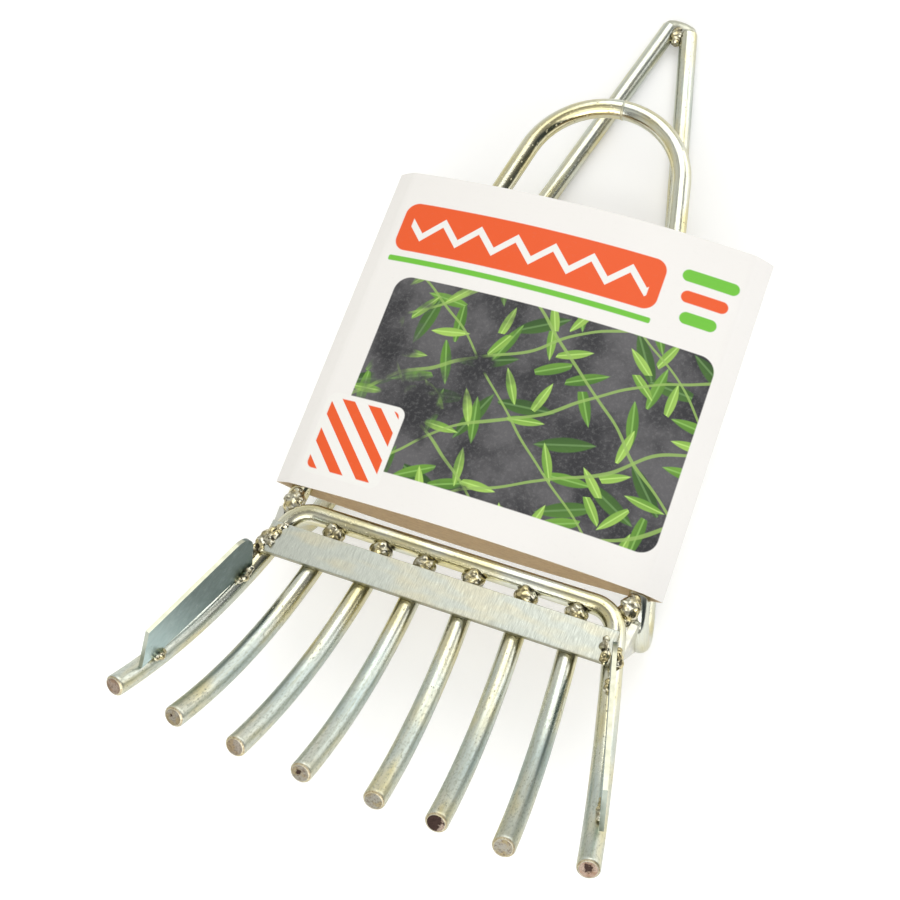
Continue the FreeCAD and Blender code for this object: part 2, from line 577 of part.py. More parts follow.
# ring of weld where the half arches butt
ring = doc.addObject("Part::Torus", "arch_butt_weld")
ring.setExpression("Radius1", "dims.wire_d / 2 - 0.3")
ring.setExpression("Radius2", "dims.butt_ring")
top = arch_c + ES * D("arch_radius")
ring.Placement = SHIFT.multiply(FreeCAD.Placement(top, FreeCAD.Rotation(V(0, 1, 0), 90)))
doc.recompute()
node(ring, "arch_butt_weld")

# ------------------------------------------------------------------- card sleeve
body = new_body("card_sleeve")
sk = new_sketch(body, "sleeve_section")
names = {
    "outer": ("dims.sleeve_width / 2", "dims.shoulder_x", "dims.shoulder_z", "dims.sleeve_rise"),
    "inner": ("dims.sleeve_width / 2 - dims.sleeve_card * 1.7", "dims.shoulder_x - dims.sleeve_card * 0.35",
              "dims.shoulder_z - dims.sleeve_card * 0.95", "dims.sleeve_rise - dims.sleeve_card"),
}
card = D("sleeve_card")
nums = {
    "outer": (D("sleeve_width") / 2, D("shoulder_x"), D("shoulder_z"), D("sleeve_rise")),
    "inner": (D("sleeve_width") / 2 - card * 1.7, D("shoulder_x") - card * 0.35, D("shoulder_z") - card * 0.95,
              D("sleeve_rise") - card),
}
base = 0
for ring_name in ("outer", "inner"):
    fx, sx, sz, cz = nums[ring_name]
    ex, esx, esz, ecz = names[ring_name]
    P = [V(-fx, 0, 0), V(-sx, sz, 0), V(sx, sz, 0), V(fx, 0, 0), V(sx, -sz, 0), V(-sx, -sz, 0)]
    sk.addGeometry(Part.LineSegment(P[0], P[1]), False)
    r = (sx * sx + (cz - sz) ** 2) / (2 * (cz - sz))
    phi = math.asin(sx / r)
    sk.addGeometry(Part.ArcOfCircle(Part.Circle(V(0, cz - r, 0), V(0, 0, 1), r), math.pi / 2 - phi, math.pi / 2 + phi), False)
    sk.addGeometry(Part.LineSegment(P[2], P[3]), False)
    sk.addGeometry(Part.LineSegment(P[3], P[4]), False)
    sk.addGeometry(Part.ArcOfCircle(Part.Circle(V(0, r - cz, 0), V(0, 0, 1), r), 1.5 * math.pi - phi, 1.5 * math.pi + phi), False)
    sk.addGeometry(Part.LineSegment(P[5], P[0]), False)
    for geo, pos, x, y, xe, ye in (
            (0, 1, P[0].x, 0, "-(%s)" % ex, None), (0, 2, P[1].x, P[1].y, "-(%s)" % esx, esz),
            (2, 1, P[2].x, P[2].y, esx, esz), (2, 2, P[3].x, 0, ex, None),
            (3, 2, P[4].x, P[4].y, esx, "-(%s)" % esz), (5, 1, P[5].x, P[5].y, "-(%s)" % esx, "-(%s)" % esz)):
        g = base + geo
        i = sk.addConstraint(Sketcher.Constraint("DistanceX", -1, 1, g, pos, x))
        nm = "%s_x_%d_%d" % (ring_name, geo, pos)
        sk.renameConstraint(i, nm)
        sk.setExpression("Constraints." + nm, xe)
        if ye is None:
            sk.addConstraint(Sketcher.Constraint("PointOnObject", g, pos, -1))
        else:
            i = sk.addConstraint(Sketcher.Constraint("DistanceY", -1, 1, g, pos, y))
            nm = "%s_y_%d_%d" % (ring_name, geo, pos)
            sk.renameConstraint(i, nm)
            sk.setExpression("Constraints." + nm, ye)
    # arcs and the second line of each fold join the placed corners
    for arc, c0, c1 in ((1, (2, 1), (0, 2)), (4, (5, 1), (3, 2))):
        sk.addConstraint(Sketcher.Constraint("Coincident", base + arc, 1, base + c0[0], c0[1]))
        sk.addConstraint(Sketcher.Constraint("Coincident", base + arc, 2, base + c1[0], c1[1]))
        i = sk.addConstraint(Sketcher.Constraint("Radius", base + arc, r))
        nm = "%s_crown_%d" % (ring_name, arc)
        sk.renameConstraint(i, nm)
        sk.setExpression("Constraints." + nm, "((%s)^2 + (%s - (%s))^2) / (2 * (%s - (%s)))" % (esx, ecz, esz, ecz, esz))
    sk.addConstraint(Sketcher.Constraint("Coincident", base + 3, 1, base + 2, 2))
    sk.addConstraint(Sketcher.Constraint("Coincident", base + 5, 2, base + 0, 1))
    base += 6
doc.recompute()
pad = body.newObject("PartDesign::Pad", "sleeve_wall")
pad.Profile = sk
pad.setExpression("Length", "dims.sleeve_length")
doc.recompute()
origin = V(D("sleeve_shift"), 0, D("leg_z")) + ES * D("sleeve_run") + NZ * D("sleeve_lift")
body.Placement = SHIFT.multiply(frame_of(origin, V(1, 0, 0), NZ * -1, ES))
node(body, "card_sleeve")

# ------------------------------------------------------------------ checks, export
doc.recompute()
bad = []
for o in doc.Objects:
    state = [str(s) for s in o.State]
    if any(s in ("Invalid", "Error") for s in state):
        bad.append("%s %s" % (o.Name, state))
for o in NODES:
    s = o.Shape
    if s.isNull():
        bad.append(o.Label + " is null")
    elif not s.isValid() or len(s.Solids) < 1 or min(x.Volume for x in s.Solids) < 0.5:
        bad.append("%s null=%s valid=%s volume %.2f solids %d" % (o.Label, s.isNull(), s.isValid(), s.Volume, len(s.Solids)))
if bad:
    raise ValueError("; ".join(bad))
box = FreeCAD.BoundBox()
for o in NODES:
    o.Shape.exportStep("parts/" + o.Label + ".step")
    b = o.Shape.BoundBox
    box.add(b)
    print("%-24s solids %d  volume %9.2f  box %.2f %.2f %.2f to %.2f %.2f %.2f"
          % (o.Label, len(o.Shape.Solids), o.Shape.Volume, b.XMin, b.YMin, b.ZMin, b.XMax, b.YMax, b.ZMax))
print("all", box)
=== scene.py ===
import bpy
import math
import numpy as np
from mathutils import Matrix, Vector, noise


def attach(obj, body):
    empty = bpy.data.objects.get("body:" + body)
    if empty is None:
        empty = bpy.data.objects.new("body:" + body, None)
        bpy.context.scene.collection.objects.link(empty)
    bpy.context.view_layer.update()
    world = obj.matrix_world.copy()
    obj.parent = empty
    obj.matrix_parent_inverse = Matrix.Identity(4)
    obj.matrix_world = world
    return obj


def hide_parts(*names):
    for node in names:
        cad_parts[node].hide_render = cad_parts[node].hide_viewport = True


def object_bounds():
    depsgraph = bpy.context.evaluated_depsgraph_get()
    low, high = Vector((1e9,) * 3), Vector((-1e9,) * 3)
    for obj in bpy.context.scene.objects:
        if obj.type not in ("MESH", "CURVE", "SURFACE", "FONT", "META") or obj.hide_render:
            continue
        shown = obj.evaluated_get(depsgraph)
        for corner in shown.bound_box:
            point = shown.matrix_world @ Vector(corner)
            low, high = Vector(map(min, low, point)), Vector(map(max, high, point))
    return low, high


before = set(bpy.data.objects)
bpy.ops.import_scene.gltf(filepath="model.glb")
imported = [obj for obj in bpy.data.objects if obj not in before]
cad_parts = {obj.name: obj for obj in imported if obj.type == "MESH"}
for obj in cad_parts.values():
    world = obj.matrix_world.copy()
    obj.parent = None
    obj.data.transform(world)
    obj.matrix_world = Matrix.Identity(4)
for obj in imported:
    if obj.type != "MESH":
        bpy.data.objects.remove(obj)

# Hand rake of bent and welded plated rod with a card sleeve, in metres.
# Paths are worked out in millimetres from the middle of the cross rod, like the CAD
# sizes, and moved into the object's frame by mm().

BOX_BEFORE = [list(c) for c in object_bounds()]
ORIGIN = np.array([0.54, 68.71, -30.16])
RAD = math.pi / 180.0


def mm(p):
    return (np.asarray(p, float) - ORIGIN) / 1000.0


def vec(x, y, z):
    return np.array([x, y, z], float)


def unit(v):
    return v / np.linalg.norm(v)


# ------------------------------------------------------------------ sizes (mm, deg)
WIRE = 3.0
BASE = dict(a=-48.63, b=-34.76, c=-19.58, d=-6.62, e=7.80, f=23.30, g=38.21, h=48.63)
FAN = dict(a=-14.15, b=-8.89, c=-6.01, d=-1.31, e=2.92, f=4.33, g=6.56, h=14.63)
CURL = dict(a=104.2, b=100.3, c=103.3, d=102.7, e=106.9, f=100.6, g=98.2, h=103.8)
RUN = dict(a=77.9, b=80.2, c=81.1, d=81.3, e=80.4, f=81.9, g=82.9, h=80.8)
START_PITCH, CORNER, ROOT = 1.02, 8.0, 3.65
LEG_X, LEG_SLOPE, LEG_Z, LEG_PITCH = 54.24, 0.2211, -5.53, 3.2
ARCH_RUN, ARCH_R = 128.04, 25.36
REAR_X, REAR_Y, REAR_MEET, REAR_Z = 52.72, 8.85, 221.27, -27.16
HAIRPIN_R = 10.6
HAIRPIN = dict(left=-0.9, right=-2.3)
REAR_END = dict(left=208.8, right=207.4)


def tine(key, run, lift=0.0):
    fan, radius = FAN[key] * RAD, CURL[key]
    a0 = START_PITCH * RAD
    a1 = a0 + run / radius
    out = radius * (math.sin(a1) - math.sin(a0))
    up = radius * (math.cos(a0) - math.cos(a1))
    p = vec(BASE[key] + out * math.sin(fan), -out * math.cos(fan), up + lift)
    t = vec(math.cos(a1) * math.sin(fan), -math.cos(a1) * math.cos(fan), math.sin(a1))
    n = vec(-math.sin(a1) * math.sin(fan), math.sin(a1) * math.cos(fan), math.cos(a1))
    return p, t, n


def line(p, q, step=1.0):
    n = max(2, int(np.linalg.norm(q - p) / step) + 1)
    return [p + (q - p) * k / n for k in range(n + 1)]


def arc(start, tangent, inward, radius, angle, step=0.7):
    t, n = unit(tangent), unit(inward)
    c = start + n * radius
    count = max(6, int(radius * angle / step) + 1)
    return [c - n * radius * math.cos(angle * k / count) + t * radius * math.sin(angle * k / count)
            for k in range(count + 1)]


def corner_arc(p0, p1, p2, radius):
    a, b = unit(p1 - p0), unit(p2 - p1)
    turn = math.acos(max(-1.0, min(1.0, float(a @ b))))
    run = radius * math.tan(turn / 2)
    return p1 - a * run, p1 + b * run, a, unit(b - a * float(a @ b)), turn


def join(*parts):
    out = []
    for part in parts:
        for p in part:
            if not out or np.linalg.norm(p - out[-1]) > 1e-4:
                out.append(p)
    return np.array(out)


# ------------------------------------------------------------------------ rod paths
LIFT, ROD_START = {}, {}
half = {}
for key in ("a", "h"):
    corner = vec(BASE[key], 0, 0)
    run0 = CORNER * math.tan((90 - abs(FAN[key])) * RAD / 2)
    p, t, n = tine(key, run0)
    LIFT[key] = -(p[2] - run0 * t[2])
    start, end, a, inward, turn = corner_arc(vec(0, 0, 0), corner, corner + t * 30, CORNER)
    p, t, n = tine(key, run0)
    rest = RUN[key] - run0
    half[key] = join(arc(start, a, inward, CORNER, turn, 0.5), arc(end, t, n, CURL[key], rest / CURL[key]))
    ROD_START[key] = start
COMB = join(half["a"][::-1], line(ROD_START["a"], ROD_START["h"]), half["h"])

INNER = {}
for key in "bcdefg":
    p, t, n = tine(key, ROOT)
    INNER[key] = join(arc(p, t, n, CURL[key], (RUN[key] - ROOT) / CURL[key]))

pitch = LEG_PITCH * RAD
ES = vec(0, math.cos(pitch), math.sin(pitch))
NZ = vec(0, -math.sin(pitch), math.cos(pitch))
ARCH_C = vec(0, 0, LEG_Z) + ES * ARCH_RUN
OPEN = math.atan(LEG_SLOPE * math.cos(pitch))


def leg_point(side, y):
    return vec(side * (LEG_X - LEG_SLOPE * y), y, LEG_Z + math.tan(pitch) * y)


def rear_point(side, y):
    k = (y - REAR_Y) / (REAR_MEET - REAR_Y)
    return vec(side * REAR_X * (1 - k), y, REAR_Z)


WIREPATH = {}
for name, side in (("left", -1), ("right", 1)):
    gap = 0.1 / ARCH_R
    seam = ARCH_C + vec(side * math.sin(gap), 0, 0) * ARCH_R + ES * (ARCH_R * math.cos(gap))
    tang = vec(side, 0, 0) * math.cos(gap) - ES * math.sin(gap)
    arch = arc(seam, tang, unit(ARCH_C - seam), ARCH_R, math.pi / 2 - OPEN - gap, 0.6)
    leg_top = ARCH_C + vec(side * math.cos(OPEN), 0, 0) * ARCH_R + ES * (ARCH_R * math.sin(OPEN))
    ca, cb = leg_point(side, HAIRPIN[name]), rear_point(side, HAIRPIN[name])
    foot = rear_point(side, REAR_END[name])
    s1, e1, a1, n1, w1 = corner_arc(leg_top, ca, cb, HAIRPIN_R)
    s2, e2, a2, n2, w2 = corner_arc(ca, cb, foot, HAIRPIN_R)
    WIREPATH[name] = join(arch, line(leg_top, s1), arc(s1, a1, n1, HAIRPIN_R, w1, 0.5), line(e1, s2),
                          arc(s2, a2, n2, HAIRPIN_R, w2, 0.5), line(e2, foot))

# places of the weld metal, for the tint that the heat leaves on the rods near it
WELDS = [(tine(k, 4.6)[0] + vec(0, 0, 1.25), 5.0) for k in "bcdefg"]
WELDS += [(tine(k, r, LIFT[k])[0] + vec(0, 0, 3.0), 5.5) for k in "ah" for r in (11.0, 16.5)]
WELDS += [(tine("a", 26.5, LIFT["a"])[0] + vec(1, 0, 3), 4.5), (tine("h", 24.0, LIFT["h"])[0] + vec(-1, 0, 3), 4.0)]
WELDS += [(vec(s * 51.5, 2.0, -2.1), 6.5) for s in (-1, 1)]
WELDS += [(vec(0.1, 206.6, REAR_Z + 0.25), 6.5)]


# ------------------------------------------------------------------- mesh utilities
def new_object(name, verts, faces, body, replaces=(), smooth=True, sharp=35):
    me = bpy.data.meshes.new(name)
    me.from_pydata([tuple(v) for v in verts], [], faces)
    me.validate()
    ob = bpy.data.objects.new(name, me)
    bpy.context.scene.collection.objects.link(ob)
    if smooth:
        me.shade_smooth()
        me.set_sharp_from_angle(angle=sharp * RAD)
    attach(ob, body)
    if replaces:
        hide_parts(*replaces)
    return ob


def put_float(ob, name, values):
    a = ob.data.attributes.new(name, "FLOAT", "POINT")
    a.data.foreach_set("value", np.asarray(values, np.float32))


def put_vector(ob, name, values):
    a = ob.data.attributes.new(name, "FLOAT_VECTOR", "POINT")
    a.data.foreach_set("vector", np.asarray(values, np.float32).ravel())


def heat_at(points):
    h = np.zeros(len(points))
    for c, reach in WELDS:
        d = np.linalg.norm(points - c, axis=1)
        h = np.maximum(h, np.exp(-(d / reach) ** 2))
    return h


def rod(name, path, node, seed, satin, tone, chamfer=(True, True), faces_look=((0, 0), (0, 0)), around=44):
    """Round rod swept along the path, with a small chamfer and a cut face at its free ends."""
    P = np.asarray(path)
    T = np.gradient(P, axis=0)
    T /= np.linalg.norm(T, axis=1)[:, None]
    s = np.concatenate([[0], np.cumsum(np.linalg.norm(np.diff(P, axis=0), axis=1))])
    N = np.zeros_like(P)
    up = vec(0, 0, 1)
    N[0] = unit(up - T[0] * float(up @ T[0]))
    for i in range(1, len(P)):
        v = N[i - 1] - T[i] * float(N[i - 1] @ T[i])
        N[i] = unit(v)
    B = np.cross(T, N)
    rings = []

    def ring(i, shift, radius, cap):
        rings.append((P[i] + T[i] * shift, N[i], B[i], s[i] + shift, radius, cap))

    cut = 0.7
    last = len(P) - 1
    if chamfer[0]:
        for r in (0.9, 1.8):
            ring(0, 0.0, r, 1.0)
        ring(0, 0.0, WIRE - cut, 1.0)
        ring(0, 0.0, WIRE - cut, 0.6)
        ring(0, cut * 0.14, WIRE - cut * 0.72, 0.5)
        ring(0, cut * 0.42, WIRE - cut * 0.36, 0.3)
        ring(0, cut * 0.72, WIRE - cut * 0.12, 0.12)
        ring(0, cut, WIRE, 0.0)
        body_from = next(i for i in range(len(s)) if s[i] > cut + 0.15)
    else:
        ring(0, 0.0, 0.9, 0.0)
        ring(0, 0.0, 2.0, 0.0)
        body_from = 0
    body_to = last
    if chamfer[1]:
        body_to = next(i for i in range(last, 0, -1) if s[last] - s[i] > cut + 0.15)
    for i in range(body_from, body_to + 1):
        ring(i, 0.0, WIRE, 0.0)
    if chamfer[1]:
        ring(last, -cut, WIRE, 0.0)
        ring(last, -cut * 0.72, WIRE - cut * 0.12, 0.12)
        ring(last, -cut * 0.42, WIRE - cut * 0.36, 0.3)
        ring(last, -cut * 0.14, WIRE - cut * 0.72, 0.5)
        ring(last, 0.0, WIRE - cut, 0.6)
        ring(last, 0.0, WIRE - cut, 1.0)
        for r in (1.8, 0.9):
            ring(last, 0.0, r, 1.0)
    else:
        ring(last, 0.0, 2.0, 0.0)
        ring(last, 0.0, 0.9, 0.0)
    verts, coord, cap, world = [], [], [], []
    for k, (c, n, b, along, r, face) in enumerate(rings):
        for j in range(around):
            w = 2 * math.pi * j / around
            x, y = r * math.cos(w), r * math.sin(w)
            q = c + n * x + b * y
            if face > 0.15:
                # the cut face is a little uneven
                lump = noise.noise(Vector((x * 0.5 + seed * 7, y * 0.5, along * 0.01 + seed)))
                t = unit(np.cross(n, b))
                q = q - t * (0.10 * abs(lump)) * (1 if along > s[-1] / 2 else -1) * (1 if face > 0.9 else 0)
            world.append(q)
            coord.append((along, x, y))
            cap.append(face)
    ends = [rings[0][0], rings[-1][0]]
    world += ends
    coord += [(rings[0][3], 0, 0), (rings[-1][3], 0, 0)]
    cap += [rings[0][5], rings[-1][5]]
    faces = []
    for k in range(len(rings) - 1):
        for j in range(around):
            a, b = k * around + j, k * around + (j + 1) % around
            faces.append((a, b, b + around, a + around))
    first, second = len(rings) * around, len(rings) * around + 1
    for j in range(around):
        faces.append((first, (j + 1) % around, j))
        base = (len(rings) - 1) * around
        faces.append((second, base + j, base + (j + 1) % around))
    world = np.array(world)
    faces = [f[::-1] for f in faces]
    ob = new_object(name, mm(world), faces, "rake", (node,), sharp=28)
    coord = np.array(coord)
    put_vector(ob, "rod", coord + np.array([seed * 211.0, 0, 0]))
    put_float(ob, "cap", cap)
    put_float(ob, "heat", heat_at(world))
    along = coord[:, 0]
    put_float(ob, "satin", satin(world, along, s[-1]))
    put_float(ob, "tone", tone(world, along, s[-1]))
    half_way = s[-1] / 2
    look = np.array([faces_look[0] if a < half_way else faces_look[1] for a in along], float)
    put_float(ob, "core", look[:, 0])
    put_float(ob, "spot", look[:, 1])
    put_float(ob, "seed", np.where(along < half_way, seed, seed + 0.37))
    return ob


def smoothstep(x, a, b):
    k = np.clip((x - a) / (b - a), 0, 1)
    return k * k * (3 - 2 * k)


# ---------------------------------------------------------------- node-tree helper
class Tree:
    def __init__(self, name):
        self.mat = bpy.data.materials.new(name)
        self.mat.use_nodes = True
        self.nt = self.mat.node_tree
        self.nt.nodes.clear()
        self.out = self.nt.nodes.new("ShaderNodeOutputMaterial")
        self.bsdf = self.nt.nodes.new("ShaderNodeBsdfPrincipled")
        self.nt.links.new(self.bsdf.outputs[0], self.out.inputs[0])

    def link(self, value, socket):
        if isinstance(value, bpy.types.NodeSocket):
            self.nt.links.new(value, socket)
        elif isinstance(value, (tuple, list)):
            v = list(value)
            if len(socket.default_value) == 4 and len(v) == 3:
                v.append(1.0)
            socket.default_value = v
        else:
            socket.default_value = value

    def node(self, kind, **props):
        n = self.nt.nodes.new(kind)
        for k, v in props.items():
            setattr(n, k, v)
        return n

    def attr(self, name, out="Fac"):
        return self.node("ShaderNodeAttribute", attribute_name=name).outputs[out]

    def math(self, op, a, b=0.0, c=None, clamp=False):
        n = self.node("ShaderNodeMath", operation=op, use_clamp=clamp)
        self.link(a, n.inputs[0])
        self.link(b, n.inputs[1])
        if c is not None:
            self.link(c, n.inputs[2])
        return n.outputs[0]

    def vmath(self, op, a, b=None, scale=None, out=0):
        n = self.node("ShaderNodeVectorMath", operation=op)
        self.link(a, n.inputs[0])
        if b is not None:
            self.link(b, n.inputs[1])
        if scale is not None:
            self.link(scale, n.inputs["Scale"])
        return n.outputs[out]

    def mapping(self, v, loc=(0, 0, 0), rot=(0, 0, 0), scale=(1, 1, 1)):
        n = self.node("ShaderNodeMapping")
        self.link(v, n.inputs[0])
        n.inputs["Location"].default_value = loc
        n.inputs["Rotation"].default_value = rot
        n.inputs["Scale"].default_value = scale
        return n.outputs[0]

    def noise(self, v, scale, detail=3.0, rough=0.5, out="Fac", dist=0.0):
        n = self.node("ShaderNodeTexNoise")
        self.link(v, n.inputs["Vector"])
        n.inputs["Scale"].default_value = scale
        n.inputs["Detail"].default_value = detail
        n.inputs["Roughness"].default_value = rough
        n.inputs["Distortion"].default_value = dist
        return n.outputs[out]

    def voronoi(self, v, scale, feature="F1", out="Distance", dims="3D", rand=1.0):
        n = self.node("ShaderNodeTexVoronoi", feature=feature, voronoi_dimensions=dims)
        self.link(v, n.inputs["Vector"])
        n.inputs["Scale"].default_value = scale
        n.inputs["Randomness"].default_value = rand
        return n if out is None else n.outputs[out]

    def ramp(self, x, lo, hi, a=0.0, b=1.0, smooth=True):
        n = self.node("ShaderNodeMapRange", interpolation_type="SMOOTHSTEP" if smooth else "LINEAR")
        self.link(x, n.inputs[0])
        self.link(lo, n.inputs[1])
        self.link(hi, n.inputs[2])
        self.link(a, n.inputs[3])
        self.link(b, n.inputs[4])
        return n.outputs[0]

    def mix(self, f, a, b, blend="MIX"):
        n = self.node("ShaderNodeMix", data_type="RGBA", blend_type=blend)
        self.link(f, n.inputs[0])
        self.link(a, n.inputs[6])
        self.link(b, n.inputs[7])
        return n.outputs[2]

    def bump(self, h, strength, distance, normal=None):
        n = self.node("ShaderNodeBump")
        self.link(h, n.inputs["Height"])
        n.inputs["Strength"].default_value = strength
        n.inputs["Distance"].default_value = distance
        if normal is not None:
            self.link(normal, n.inputs["Normal"])
        return n.outputs[0]

    def set(self, **kw):
        names = dict(color="Base Color", rough="Roughness", metal="Metallic", normal="Normal", coat="Coat Weight",
                     coat_rough="Coat Roughness", ior="IOR", spec="Specular IOR Level", tint="Specular Tint")
        for k, v in kw.items():
            self.link(v, self.bsdf.inputs[names[k]])
        return self.mat


# ------------------------------------------------------------------------ materials
def rod_material():
    t = Tree("plated_rod")
    p = t.attr("rod", "Vector")
    heat, satin, tone, cap, seed, tan, spot = (t.attr(n) for n in ("heat", "satin", "tone", "cap", "seed", "core", "spot"))
    patches = t.noise(t.mapping(p, scale=(0.055, 0.22, 0.22)), 1.0, 2.0, 0.5)
    streak = t.noise(t.mapping(p, scale=(0.10, 3.0, 3.0)), 1.0, 3.0, 0.6)
    fine = t.noise(t.mapping(p, scale=(0.9, 5.0, 5.0)), 1.0, 2.0, 0.6)
    mottle = t.noise(t.mapping(p, scale=(0.75, 1.4, 1.4)), 1.3, 4.0, 0.62)
    nick = t.math("MULTIPLY", t.ramp(t.voronoi(t.mapping(p, scale=(0.5, 1.1, 1.1)), 1.0), 0.07, 0.20, 1.0, 0.0),
                  t.ramp(patches, 0.46, 0.60))
    silver, yellow, blue = (0.70, 0.705, 0.61), (0.68, 0.615, 0.345), (0.43, 0.515, 0.505)
    c = t.mix(t.ramp(t.math("ADD", t.math("MULTIPLY", tone, 0.8), t.math("MULTIPLY", patches, 0.7)), 0.40, 1.00), blue, silver)
    c = t.mix(t.ramp(t.math("ADD", t.math("MULTIPLY", tone, 0.50), t.math("MULTIPLY", patches, 1.1)), 0.78, 1.15), c, yellow)
    c = t.mix(t.math("MULTIPLY", t.ramp(mottle, 0.48, 0.70), t.math("MULTIPLY_ADD", satin, 0.62, 0.10)), c, (0.34, 0.36, 0.30))
    c = t.mix(t.math("MULTIPLY", t.ramp(streak, 0.46, 0.70), 0.34), c, (0.42, 0.40, 0.25))
    c = t.mix(t.math("MULTIPLY", heat, t.ramp(mottle, 0.25, 0.7, 0.35, 0.85)), c, (0.50, 0.42, 0.22))
    c = t.mix(t.math("MULTIPLY", nick, 0.55), c, (0.17, 0.15, 0.11))
    # cut ends: rolled core under thin plating, brown or grey, some with a dark patch
    q = t.mapping(p, scale=(0.0, 1, 1))
    off = t.node("ShaderNodeCombineXYZ")
    t.link(t.math("MULTIPLY", seed, 3.7), off.inputs[0])
    where = t.vmath("ADD", q, off.outputs[0])
    shape = t.noise(where, 0.42, 3.0, 0.6)
    grain = t.noise(where, 1.7, 3.0, 0.7)
    pink = t.mix(t.ramp(shape, 0.42, 0.58), (0.33, 0.22, 0.155), (0.42, 0.33, 0.27))
    grey = t.mix(t.ramp(shape, 0.42, 0.58), (0.36, 0.32, 0.19), (0.33, 0.335, 0.29))
    face = t.mix(tan, grey, pink)
    face = t.mix(t.math("MULTIPLY", t.ramp(grain, 0.50, 0.62), 0.75), face, (0.20, 0.15, 0.11))
    away = t.vmath("LENGTH", t.vmath("SUBTRACT", q, (0.0, 0.25, 0.35)), out=1)
    ragged = t.math("MULTIPLY_ADD", t.math("SUBTRACT", shape, 0.5), 5.5, away)
    ragged = t.math("ADD", ragged, t.math("MULTIPLY", t.math("SUBTRACT", grain, 0.5), 1.8))
    dark = t.ramp(t.math("SUBTRACT", ragged, t.math("MULTIPLY", spot, 2.6)), -0.35, 0.15, 1.0, 0.0)
    dark = t.math("MULTIPLY", dark, t.ramp(spot, 0.02, 0.10))
    face = t.mix(dark, face, (0.060, 0.038, 0.032))
    c = t.mix(t.ramp(cap, 0.55, 0.85), c, face)
    # painted highlight: the chamfer ring at each cut end takes a golden colour, broken up with dark brown by the
    # grain noise
    painted_rim_highlight = t.ramp(t.math("ABSOLUTE", t.math("SUBTRACT", cap, 0.40)), 0.06, 0.24, 0.85, 0.0)
    c = t.mix(painted_rim_highlight, c, t.mix(t.ramp(grain, 0.35, 0.65), (0.66, 0.57, 0.37), (0.34, 0.25, 0.14)))
    r = t.math("MULTIPLY_ADD", satin, 0.25, 0.13)
    r = t.math("ADD", r, t.math("MULTIPLY", t.ramp(mottle, 0.4, 0.75), t.math("MULTIPLY_ADD", satin, 0.18, 0.04)))
    r = t.math("ADD", r, t.math("MULTIPLY", cap, 0.24))
    r = t.math("ADD", r, t.math("MULTIPLY", nick, 0.25))
    n = t.bump(streak, 0.20, 0.00012)
    n = t.bump(mottle, 0.22, 0.00014, n)
    n = t.bump(fine, 0.08, 0.00006, n)
    n = t.bump(nick, 0.50, -0.00015, n)
    n = t.bump(t.math("MULTIPLY", t.ramp(cap, 0.8, 0.95), grain), 0.5, 0.0003, n)
    return t.set(color=c, rough=r, metal=1.0, normal=n, tint=(0.80, 0.80, 0.77))


def sheet_material(name, base, across, streaks, bias, edge=None, fade=None):
    t = Tree(name)
    tc = t.node("ShaderNodeTexCoord")
    p = t.vmath("SCALE", tc.outputs["Object"], scale=1000.0)
    fine = t.noise(t.mapping(p, scale=across), 1.0, 4.0, 0.62)
    wide = t.noise(t.mapping(p, scale=(0.055, 0.16, 0.10)), 1.0, 2.0, 0.5)
    mottle = t.noise(p, 0.9, 4.0, 0.62)
    c = t.mix(t.ramp(wide, 0.42, 0.60), base, bias)
    if fade is not None:
        # the colour turns darker towards the rear end
        sy = t.node("ShaderNodeSeparateXYZ")
        t.link(t.vmath("ADD", p, t.vmath("SCALE", t.noise(p, 0.08, 2.0, 0.5, out="Color"), scale=8.0)), sy.inputs[0])
        c = t.mix(t.ramp(sy.outputs[1], -128.0, -99.0, 0.0, 1.0), c, fade)
    c = t.mix(t.math("MULTIPLY", t.ramp(fine, 0.42, 0.66), streaks), c, tuple(0.66 * x for x in base))
    c = t.mix(t.math("MULTIPLY", t.ramp(fine, 0.56, 0.30), streaks * 0.8), c, tuple(min(1.0, 1.28 * x) for x in base))
    c = t.mix(t.math("MULTIPLY", t.ramp(mottle, 0.55, 0.72), 0.20), c, (0.36, 0.37, 0.33))
    if edge is not None:
        # colour picked by which way a face points: on the strap the faces that don't point up turn dark brown,
        # painted shade on its sides and underside; on the plates the faces that point up turn pale, a painted
        # highlight on the top edge
        sn = t.node("ShaderNodeSeparateXYZ")
        t.link(tc.outputs["Normal"], sn.inputs[0])
        side = t.ramp(sn.outputs[2], edge[1], edge[1] + 0.2, 0.0, 1.0) if edge[1] > 0 else t.ramp(sn.outputs[2], 0.60, 0.95, 1.0, 0.0)
        c = t.mix(t.math("MULTIPLY", side, 0.85), c, edge[0])
    r = t.ramp(fine, 0.3, 0.75, 0.27, 0.42)
    n = t.bump(fine, 0.30, 0.00010)
    n = t.bump(mottle, 0.15, 0.00008, n)
    return t.set(color=c, rough=r, metal=1.0, normal=n)


def weld_material():
    t = Tree("weld_metal")
    p = t.vmath("SCALE", t.node("ShaderNodeTexCoord").outputs["Object"], scale=1000.0)
    low = t.attr("low")
    grain = t.noise(p, 0.75, 3.0, 0.55)
    tint = t.noise(p, 0.30, 2.0, 0.5)
    c = t.mix(t.ramp(tint, 0.42, 0.60), (0.60, 0.58, 0.47), (0.62, 0.54, 0.30))
    c = t.mix(t.math("MULTIPLY", t.ramp(grain, 0.44, 0.62), 0.75), c, (0.17, 0.14, 0.07))
    # painted shade: the low attribute turns the weld hollows and the seam along the rods near black
    c = t.mix(t.ramp(low, 0.25, 0.85), c, (0.060, 0.052, 0.035))
    r = t.math("ADD", t.ramp(grain, 0.3, 0.7, 0.14, 0.30), t.math("MULTIPLY", low, 0.25))
    n = t.bump(grain, 0.30, 0.00012)
    return t.set(color=c, rough=r, metal=1.0, normal=n)


# ----------------------------------------------------------------------------- rods
rods = []


